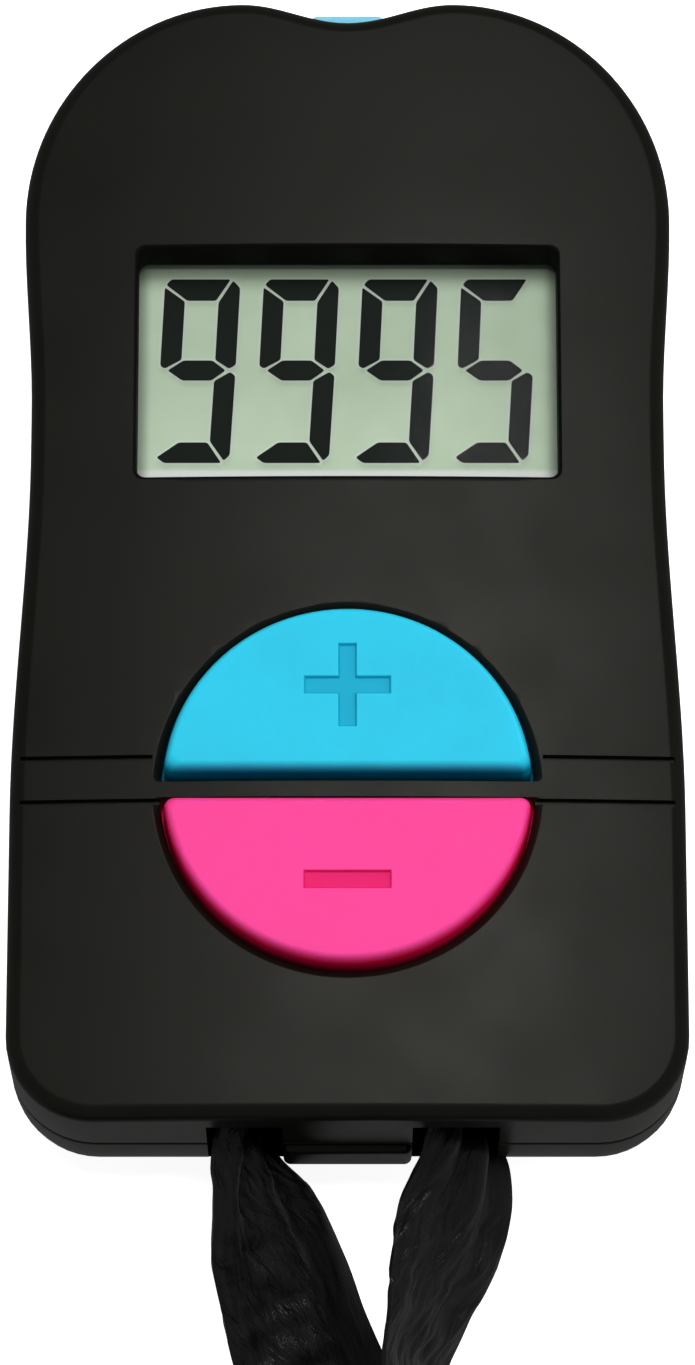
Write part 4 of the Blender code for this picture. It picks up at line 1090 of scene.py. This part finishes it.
def make_ribbon(material):
    """The loop as one woven strip of constant width, creased where it is gathered in the slots."""
    fine = ribbon_line(FINE_SPACING)
    stations, total = ribbon_stations(fine)
    half = RIBBON_WIDTH / MM / 2.0
    rings, path, crush = [], [], []
    for i, gone in stations:
        side = -1 if gone < total / 2.0 else 1
        strand = LEFT if side < 0 else RIGHT
        along = min(gone, total - gone) / MM
        ring, centre = ribbon_row(fine, i, along, strand, side)
        rings.append(ring)
        path.append(centre)
        crush += [crush_of(-half + k * 2.0 * half / RIBBON_COLUMNS, along, strand, side)
                  for k in range(RIBBON_COLUMNS + 1)]
    mesh_data = bmesh.new()
    uv_layer = mesh_data.loops.layers.uv.new("ribbon")
    rows = add_rings(mesh_data, rings)
    for j in range(len(rows) - 1):
        for k in range(RIBBON_COLUMNS):
            corners = ((j, k), (j, k + 1), (j + 1, k + 1), (j + 1, k))
            face = mesh_data.faces.new([rows[row][column] for row, column in corners])
            for loop, (row, column) in zip(face.loops, corners):
                loop[uv_layer].uv = (column * RIBBON_WIDTH / RIBBON_COLUMNS, stations[row][1])
    mesh = bpy.data.meshes.new("lanyard")
    mesh_data.to_mesh(mesh)
    mesh_data.free()
    mesh.attributes.new("crush", "FLOAT", "POINT").data.foreach_set("value", crush)
    obj = link(bpy.data.objects.new("lanyard", mesh))
    solidify = obj.modifiers.new("thickness", "SOLIDIFY")
    solidify.thickness = RIBBON_THICK
    solidify.offset = 0.0
    finish_piece(obj, "root", material, ("lanyard_ribbon", "lanyard_coil"), 50.0)
    tie = make_tie()


def make_tie():
    """A narrow strap round the coil's three layers."""
    radial = Vector((math.cos(TIE_TURN), math.sin(TIE_TURN), 0.0))
    tangent = Vector((-radial.y, radial.x, 0.0))
    centre = Vector((*COIL_CENTRE, 0.0))
    loops = [divided(grown_rectangle(TIE_LOW, TIE_HIGH, TIE_CORNER_R, -inset), 1.5 * MM)
             for inset in (0.0, TIE_WALL)]
    count = min(len(points) for points in loops)
    mesh_data = bmesh.new()
    rings = []
    for shape, way in ((0, -1.0), (0, 1.0), (1, 1.0), (1, -1.0)):
        rings.append([centre + radial * x + tangent * (way * TIE_HALF_WIDTH) + Vector((0.0, 0.0, z))
                      for x, z in loops[shape][:count]])
    rows = add_rings(mesh_data, rings)
    add_bands(mesh_data, rows + rows[:1])
    tie = from_bmesh("coil_tie", mesh_data)
    weave = moulded("tie_nylon", rgb(26, 26, 27), 0.7, 0.3 * MM, 0.05 * MM)
    return finish_piece(tie, "root", weave)


# ---- case pieces ----
def slot_corners():
    pairs = []
    for side in (-1, 1):
        xs = sorted((side * LANYARD_BAR_HALF, side * SLOT_OUTER[side]))
        pairs.append(((xs[0], SLOT_Y[0], SLOT_Z[0]), (xs[1], SLOT_Y[1], SLOT_Z[1])))
    return pairs


def reset_corners():
    return ((-RESET_HALF - RESET_GAP, RESET_OPENING_Y[0], RESET_Z[0] - RESET_GAP),
            (RESET_HALF + RESET_GAP, RESET_OPENING_Y[1], RESET_Z[1] + RESET_GAP))


def opening_levels(round_over, depth, arc_steps=7):
    """(depth below the face, spread) up a hole's rounded edge, then straight on past the face."""
    levels = [(OPENING_DEPTH, 0.0)]
    for out, up in arc((0.0, 0.0), (1.0, 1.0), 0.0, 72.0, arc_steps):
        levels.append((depth * (1.0 - up), round_over * (1.0 - out)))
    rise = 0.4 * MM
    run = rise * round_over * up / (depth * out)
    levels.append((levels[-1][0] - rise, levels[-1][1] + run))
    return levels


def window_rings():
    """The window from below the lens up through the crowned face, rounded where it comes out."""
    low, high = (-WINDOW_HALF, WINDOW_LOW_Y), (WINDOW_HALF, WINDOW_HIGH_Y)
    base = divided(rounded_rectangle(low, high, WINDOW_CORNER_R), 1.0 * MM)
    rings = [at_height(base, WINDOW_CUT_Z)]
    middle = Vector(((low[0] + high[0]) / 2.0, (low[1] + high[1]) / 2.0))
    half = Vector(((high[0] - low[0]) / 2.0, (high[1] - low[1]) / 2.0))
    for below, growth in opening_levels(WINDOW_ROUND, WINDOW_ROUND):
        ring = []
        for x, y in base:
            moved_x = middle.x + (x - middle.x) * (1.0 + growth / half.x)
            moved_y = middle.y + (y - middle.y) * (1.0 + growth / half.y)
            ring.append((moved_x, moved_y, face_z(moved_x) - below))
        rings.append(ring)
    return rings


def key_opening_rings(side):
    rings = [at_height(half_moon(OPENING_R, BAR_HALF, OPENING_CORNER_R, side), OPENING_CUT_Z)]
    for below, growth in opening_levels(OPENING_FLARE, OPENING_FLARE_DEPTH):
        outline = half_moon(OPENING_R + growth, BAR_HALF - growth * 0.08, OPENING_CORNER_R, side)
        rings.append([(x, y, face_z(x) - below) for x, y in outline])
    return rings


def groove_rings(y, inner, side):
    """A shallow groove with sloping sides that follows the crown of the face."""
    rings = []
    steps = 10
    for i in range(steps + 1):
        x = side * (inner + (GROOVE_OUTER - inner) * i / steps)
        z = face_z(x)
        half = GROOVE_WIDTH / 2.0
        rings.append([(x, y - half * 0.7, z - GROOVE_DEPTH), (x, y + half * 0.7, z - GROOVE_DEPTH),
                      (x, y + half, z), (x, y + half * 1.6, z + 0.3 * MM),
                      (x, y - half * 1.6, z + 0.3 * MM), (x, y - half, z)])
    return rings


def make_front_case(material, well_material):
    obj = front_shell_solid()
    obj.data.materials.append(material)
    skirt_low = (-WINDOW_HALF - SKIRT_WALL, WINDOW_LOW_Y - SKIRT_WALL)
    skirt_high = (WINDOW_HALF + SKIRT_WALL, WINDOW_HIGH_Y + SKIRT_WALL)
    skirt = rounded_rectangle(skirt_low, skirt_high, 1.0 * MM)
    join(obj, loft("window_skirt", [at_height(skirt, LENS_TOP_Z + 0.05 * MM),
                                    at_height(skirt, 15.8 * MM)]))
    join(obj, pins("bosses", *FRONT_BOSSES))
    cut(obj, pins("pilots", *FRONT_PILOTS))
    window = loft("window", window_rings())
    window.data.materials.append(well_material)
    cut(obj, window)
    cut(obj, loft("key_openings", key_opening_rings(1), key_opening_rings(-1)))
    cut(obj, loft("grooves", *[groove_rings(y, inner, side) for y, inner in GROOVES
                               for side in (-1, 1)]))
    cut(obj, boxes("end_openings", [reset_corners(), *slot_corners()]))
    finish_piece(obj, "root", None, ("front_shell",))
    weigh_normals(obj)


def join_rear_fittings(obj):
    """The rear case's bosses, cell well, partition and lanyard bar."""
    join(obj, pins("rear_bosses", *REAR_BOSSES))
    join(obj, box("cell_well", *CELL_WELL))
    join(obj, box("partition", *PARTITION))
    join(obj, box("lanyard_bar", (-LANYARD_BAR_HALF, LANYARD_BAR_Y, LANYARD_BAR_Z[0]),
                  (LANYARD_BAR_HALF, BOTTOM_Y + 1.2 * MM, LANYARD_BAR_Z[1]), 0.45 * MM, 4))


def cut_rear_openings(obj):
    """The hollow of the cell well, the screw holes, the door's opening and the end openings."""
    cut(obj, box("well_hollow", *CELL_HOLLOW))
    cut(obj, pins("rear_clearances", *REAR_HOLES))
    cut(obj, pins("rear_counterbores", REAR_COUNTERBORES))
    door_low = (-DOOR_HALF - DOOR_GAP, DOOR_Y[0] - DOOR_GAP)
    door_high = (DOOR_HALF + DOOR_GAP, DOOR_Y[1] + DOOR_GAP)
    recess = rounded_rectangle(door_low, door_high, 1.7 * MM, 10)
    cut(obj, loft("door_recess", [at_height(recess, -1.0 * MM), at_height(recess, DOOR_THICK + 0.1 * MM)]))
    hole = rounded_rectangle(*DOOR_OPENING, 1.0 * MM)
    cut(obj, loft("door_opening", [at_height(hole, -1.0 * MM), at_height(hole, 2.5 * MM)]))
    cut(obj, boxes("end_cuts", [reset_corners(), *slot_corners()]))
    cut(obj, boxes("reliefs", [RESET_RELIEF, RIBBON_RELIEF]))


def make_rear_case(material):
    obj = rear_shell_solid()
    join_rear_fittings(obj)
    cut_rear_openings(obj)
    finish_piece(obj, "root", material, ("rear_cover",))
    weigh_normals(obj)


def make_battery_door(material):
    low, high = (-DOOR_HALF, DOOR_Y[0]), (DOOR_HALF, DOOR_Y[1])
    levels = ((0.05, -0.3), (0.11, -0.12), (0.25, 0.0), (DOOR_THICK / MM, 0.0))
    obj = loft("battery_cover", [at_height(grown_rectangle(low, high, 1.5 * MM, growth * MM, 10),
                                           z * MM) for z, growth in levels])
    hooks = []
    for side in (-1.0, 1.0):
        xs = sorted((side * 5.2 * MM, side * 7.4 * MM))
        profile = ((-9.6, 1.0), (-8.5, 1.0), (-8.5, 2.1), (-7.3, 2.1), (-7.3, 2.8), (-9.6, 2.8))
        hooks.append([[(x, y * MM, z * MM) for y, z in profile] for x in xs])
    join(obj, loft("door_hooks", *hooks))
    grips = [((-4.5 * MM, y * MM, -1.0 * MM), (4.5 * MM, (y + 0.7) * MM, 0.4 * MM))
             for y in (-12.4, -11.0, -9.6)]
    cut(obj, boxes("thumb_grips", grips))
    cut(obj, pins("door_counterbore", DOOR_COUNTERBORE))
    cut(obj, pins("door_clearance", DOOR_CLEARANCE))
    finish_piece(obj, "root", material, ("battery_door",))


def cross_recess(name, place, seat_z, head_r, head_h):
    """The cross that a screw's head is cut by, narrower deeper in."""
    rings = []
    for z, size in ((seat_z - head_h - 0.5 * MM, 1.25), (seat_z - head_h, 1.0),
                    (seat_z - head_h * 0.45, 0.6)):
        outline = plus_outline(0.62 * head_r * size, 0.15 * head_r * size)
        rings.append([(place[0] + x, place[1] + y, z) for x, y in outline])
    return loft(name + "_recess", rings)


def make_screw(name, place, seat_z, sizes, material):
    """A pan head with a cross recess, and a shank with a real helical thread."""
    head_r, head_h, shank_r, length = sizes
    pitch = 0.7 * shank_r
    sides = 24
    profile = [(head_r * 0.55, -head_h), (head_r * 0.8, -head_h * 0.93), (head_r * 0.95, -head_h * 0.7),
               (head_r, -head_h * 0.4), (head_r, -0.03 * MM), (head_r * 0.98, 0.0),
               (shank_r * 0.8, 0.0)]
    rows = [[(radius, height)] * sides for radius, height in profile]
    levels = round(length / pitch * 6)
    for i in range(1, levels + 1):
        height = length * i / levels
        taper = min(1.0, (length - height) / (1.2 * shank_r) + 0.15)
        ring = []
        for k in range(sides):
            turn = (height / pitch - k / sides) % 1.0
            ridge = 1.0 - abs(2.0 * turn - 1.0)
            depth = 0.22 * smooth_step(height / pitch)
            ring.append((shank_r * (1.0 - depth * (1.0 - ridge)) * taper, height))
        rows.append(ring)
    rings = [[(place[0] + radius * math.cos(2 * math.pi * k / sides),
               place[1] + radius * math.sin(2 * math.pi * k / sides), seat_z + height)
              for k, (radius, height) in enumerate(row)] for row in rows]
    obj = loft(name + "_body", rings)
    cut(obj, cross_recess(name, place, seat_z, head_r, head_h))
    finish_piece(obj, "root", material, (name,), 40.0)


def make_screws(material):
    kinds = (("casing_screw", CASE_SCREWS, 3.35 * MM, mm(2.0, 1.3, 1.0, 10.4)),
             ("board_screw", BOARD_SCREWS, 7.9 * MM, mm(1.6, 0.9, 0.8, 5.2)))
    for label, places, seat_z, sizes in kinds:
        for number, place in enumerate(places, 1):
            make_screw(f"{label}_{number}", place, seat_z, sizes, material)
    make_screw("battery_door_screw", DOOR_SCREW, 0.85 * MM,
               mm(1.5, 0.7, 0.75, 4.0), material)


# ---- keys ----
def make_key(label, side, material, symbol_material):
    rings = [at_height(half_moon(radius, flat, corner, side), z) for z, radius, flat, corner in key_levels()]
    obj = loft(label + "_cap", rings)
    obj.data.materials.append(material)
    hollow = [(KEY_HOLLOW_Z[0], KEY_BASE_R - KEY_WALL, KEY_BASE_FLAT + KEY_WALL),
              (KEY_HOLLOW_Z[1], KEY_TOP_R - KEY_WALL, KEY_TOP_FLAT + KEY_WALL)]
    tool = loft(label + "_hollow", [at_height(half_moon(radius, flat, 0.5 * MM, side), z)
                                    for z, radius, flat in hollow])
    tool.data.materials.append(material)
    cut(obj, tool)
    centre_y = KEY_Y + side * SYMBOL_OFFSET
    stem = pins(label + "_stem", (((0.0, centre_y),), 2.2 * MM, 13.8 * MM, 17.5 * MM))
    stem.data.materials.append(material)
    join(obj, stem)
    outline_of = plus_outline if side > 0 else minus_outline
    symbol = loft(label + "_symbol", symbol_rings(outline_of, centre_y))
    symbol.data.materials.append(symbol_material)
    cut(obj, symbol)
    finish_piece(obj, label + "_button", None, (label + "_key",))
    weigh_normals(obj)


def make_reset_key(material):
    obj = box("reset_cap", (-RESET_HALF, RESET_FOOT_Y, RESET_Z[0]),
              (RESET_HALF, RESET_TIP_Y, RESET_Z[1]), 0.75 * MM, 6)
    join(obj, box("reset_flange", *RESET_FLANGE, 0.2 * MM, 2))
    finish_piece(obj, "reset_button", material, ("reset_key",))
    weigh_normals(obj)


def make_dome(label, side, material):
    """A rubber dome of the kind that folds down as its key is pressed, here in its resting shape."""
    outer = [(0.0, 13.5), (1.9, 13.5), (2.15, 13.44), (2.28, 13.25), (2.36, 12.9), (2.5, 12.2),
             (2.75, 11.4), (3.1, 10.9), (3.55, 10.62), (3.85, 10.52), (3.9, 10.4), (3.9, 10.25)]
    inner = [(3.2, 10.25), (3.05, 10.5), (2.6, 10.8), (2.25, 11.2), (2.0, 12.0), (1.85, 12.8),
             (1.7, 13.0), (0.0, 13.0)]
    profile = [(radius * MM, height * MM) for radius, height in outer + inner]
    obj = turned(label + "_spring_dome", profile, (0.0, KEY_Y + side * SYMBOL_OFFSET, 0.0))
    finish_piece(obj, "root", material, (label + "_dome",), 50.0)
    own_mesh(obj)


# ---- display ----
def digit_polygons():
    """Every lit segment of the number shown, as outlines in metres."""
    polygons = []
    for number, digit in enumerate(DIGIT_TEXT):
        for segment in LIT_SEGMENTS[digit]:
            corners = rounded_corners(SEGMENTS[segment], SEGMENT_ROUND)
            left = DIGIT_LEFT + number * DIGIT_PITCH
            polygons.append([(left + (x + y * DIGIT_SLANT) * MM, DIGIT_BOTTOM_Y + y * MM)
                             for x, y in corners])
    return polygons


def distance_to(polygon, x, y):
    """Distance from a point to a polygon's outline, negative inside it."""
    inside = False
    nearest = 1.0
    for (ax, ay), (bx, by) in zip(polygon, polygon[1:] + polygon[:1]):
        if (ay > y) != (by > y) and x < (bx - ax) * (y - ay) / (by - ay) + ax:
            inside = not inside
        dx, dy = bx - ax, by - ay
        share = ((x - ax) * dx + (y - ay) * dy) / max(dx * dx + dy * dy, 1e-18)
        share = min(max(share, 0.0), 1.0)
        nearest = min(nearest, math.hypot(x - ax - dx * share, y - ay - dy * share))
    return -nearest if inside else nearest


def tones_of(x, y, polygons):
    """Painted shadow and painted pale halo that the segments give the display's ground at a point."""
    lit, pale = 1.0, 0.0
    shadow_x, shadow_y = x - DIGIT_SHADOW[0], y - DIGIT_SHADOW[1]
    for polygon, low, high in polygons:
        if low[0] <= shadow_x <= high[0] and low[1] <= shadow_y <= high[1]:
            beyond = distance_to(polygon, shadow_x, shadow_y) / (2.0 * DIGIT_SHADOW_BLUR)
            lit = min(lit, 1.0 - DIGIT_SHADOW_DEPTH * smooth_step(0.5 - beyond))
        if low[0] <= x <= high[0] and low[1] <= y <= high[1]:
            beyond = distance_to(polygon, x, y) / DIGIT_RIM
            pale = max(pale, DIGIT_RIM_PALENESS * (1.0 - smooth_step(beyond)))
    return lit, pale


def rim_of(y):
    """How pale the display's ground is along its lower edge."""
    return 0.9 * (1.0 - smooth_step((y - DISPLAY_RIM_TOP_Y) / (0.28 * MM) + 0.5))


def edge_shade_of(x, y):
    """The display's ground dims gently upwards, and towards the window's sides and top edge."""
    top = 1.0 - 0.18 * smooth_step((y - TOP_BAND_Y) / (0.5 * MM))
    rise = 1.0 - 0.13 * smooth_step((y - DIGIT_BOTTOM_Y) / (6.0 * MM))
    side = 1.0 - 0.45 * (1.0 - smooth_step((WINDOW_HALF - abs(x)) / DISPLAY_SIDE_SHADE))
    return top * rise * side


def make_display_sheet(material):
    """The front polarizer, finely divided so that its shade can be painted on it."""
    bounded = []
    for polygon in digit_polygons():
        low = [min(point[k] for point in polygon) - DIGIT_SHADOW_BLUR for k in (0, 1)]
        high = [max(point[k] for point in polygon) + DIGIT_SHADOW_BLUR for k in (0, 1)]
        bounded.append((polygon, low, high))
    low, high = SHEET_LOW, SHEET_HIGH
    columns, lines = [round((high[k] - low[k]) / SHEET_SPACING) for k in (0, 1)]
    verts, tones, rims = [], [], []
    for j in range(lines + 1):
        for i in range(columns + 1):
            x = low[0] + (high[0] - low[0]) * i / columns
            y = low[1] + (high[1] - low[1]) * j / lines
            verts.append((x, y, SHEET_TOP_Z))
            lit, pale = tones_of(x, y, bounded)
            tones.append(lit * edge_shade_of(x, y))
            rims.append(max(pale, rim_of(y)))
    starts = [j * (columns + 1) + i for j in range(lines) for i in range(columns)]
    faces = [(k, k + 1, k + columns + 2, k + columns + 1) for k in starts]
    mesh = bpy.data.meshes.new("lcd_sheet")
    mesh.from_pydata(verts, [], faces)
    for name, values in (("shade", tones), ("rim", rims)):
        mesh.attributes.new(name, "FLOAT", "POINT").data.foreach_set("value", values)
    obj = link(bpy.data.objects.new("lcd_sheet", mesh))
    solidify = obj.modifiers.new("thickness", "SOLIDIFY")
    solidify.thickness = SHEET_THICK
    solidify.offset = -1.0
    finish_piece(obj, "root", material, ("lcd_front_polarizer",))


def make_digits(material):
    levels = (SHEET_TOP_Z + 0.003 * MM, SHEET_TOP_Z + 0.02 * MM)
    solids = [[at_height(polygon, z) for z in levels] for polygon in digit_polygons()]
    obj = loft("lcd_digits", *solids)
    finish_piece(obj, "root", material)


# ---- carried-over nodes ----
def paint_inner_parts(nodes, case):
    """Give the frame's own inner nodes their materials, and return the rubber for the domes."""
    rubber = moulded("silicone_rubber", rgb(62, 64, 66), 0.7, 0.2 * MM, 0.02 * MM)
    glass = clear_plastic("display_glass", rgb(206, 216, 206), 0.35)
    epoxy = moulded("potting_epoxy", rgb(18, 18, 19), 0.25, 1.2 * MM, 0.02 * MM, 0.2, 2.0 * MM)
    ceramic = moulded("chip_ceramic", rgb(158, 118, 80), 0.5, 0.1 * MM, 0.01 * MM, 0.15, 1.0 * MM)
    contact = metal("plated_spring", rgb(200, 196, 180), 0.28)
    carbon = moulded("carbon_pill", rgb(24, 24, 25), 0.8, 0.12 * MM, 0.02 * MM)
    looks = {
        "lcd_window": clear_plastic("clear_lens", rgb(24, 30, 26), 0.06),
        "lcd_front_glass": glass,
        "lcd_rear_glass": glass,
        "lcd_reflector": metal("reflector_foil", rgb(196, 196, 190), 0.35),
        "lcd_frame": case,
        "zebra_strip": striped_rubber("zebra_layers"),
        "main_board": circuit_board("solder_mask"),
        "chip_blob": epoxy,
        "resistor_1": epoxy,
        "capacitor_1": ceramic,
        "capacitor_2": ceramic,
        "battery_cell": metal("cell_can", rgb(186, 186, 182), 0.25),
        "battery_contact_positive": contact,
        "battery_contact_negative": contact,
        "keypad_mat": rubber,
        "plus_contact_pill": carbon,
        "minus_contact_pill": carbon,
        "reset_switch_body": moulded("switch_nylon", rgb(26, 26, 28), 0.4, 0.2 * MM, 0.01 * MM),
        "reset_switch_plunger": moulded("plunger_nylon", rgb(60, 58, 56), 0.35, 0.2 * MM, 0.01 * MM),
    }
    for name, material in looks.items():
        for slot in nodes[name].material_slots:
            slot.material = material
    return rubber


clear_scene()
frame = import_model()
add_camera()
add_stage()
make_ribbon(satin("black_satin"))

case_plastic = moulded("black_abs", rgb(13, 13, 10), 0.32, 0.16 * MM, 0.004 * MM,
                       **{"Specular IOR Level": 0.3, "Specular Tint": (1.0, 0.99, 0.92, 1.0)})
well_plastic = moulded("matt_black_abs", rgb(14, 14, 13), 0.7, 0.16 * MM, 0.004 * MM,
                       **{"Specular IOR Level": 0.05})
make_front_case(case_plastic, well_plastic)
make_rear_case(case_plastic)
make_battery_door(case_plastic)
make_screws(metal("zinc_steel", rgb(170, 170, 168), 0.3))
make_key("plus", 1, key_plastic("blue_key", rgb(48, 200, 230), rgb(6, 160, 200), BLUE_REACH),
         key_plastic("blue_symbol", rgb(24, 176, 208), rgb(20, 168, 202), BLUE_REACH))
make_key("minus", -1, key_plastic("pink_key", rgb(254, 74, 158), rgb(255, 8, 80), PINK_REACH),
         key_plastic("pink_symbol", rgb(230, 34, 116), rgb(222, 26, 104), PINK_REACH))
make_reset_key(key_plastic("pale_blue_key", rgb(132, 200, 220), rgb(132, 200, 220), BLUE_REACH))
rubber_material = paint_inner_parts(frame["nodes"], case_plastic)
make_dome("plus", 1, rubber_material)
make_dome("minus", -1, rubber_material)
make_display_sheet(display_ground("display_ground"))
make_digits(moulded("lit_segments", rgb(20, 27, 23), 0.5, 0.3 * MM, 0.002 * MM, 0.1,
                    **{"Specular IOR Level": 0.2}))
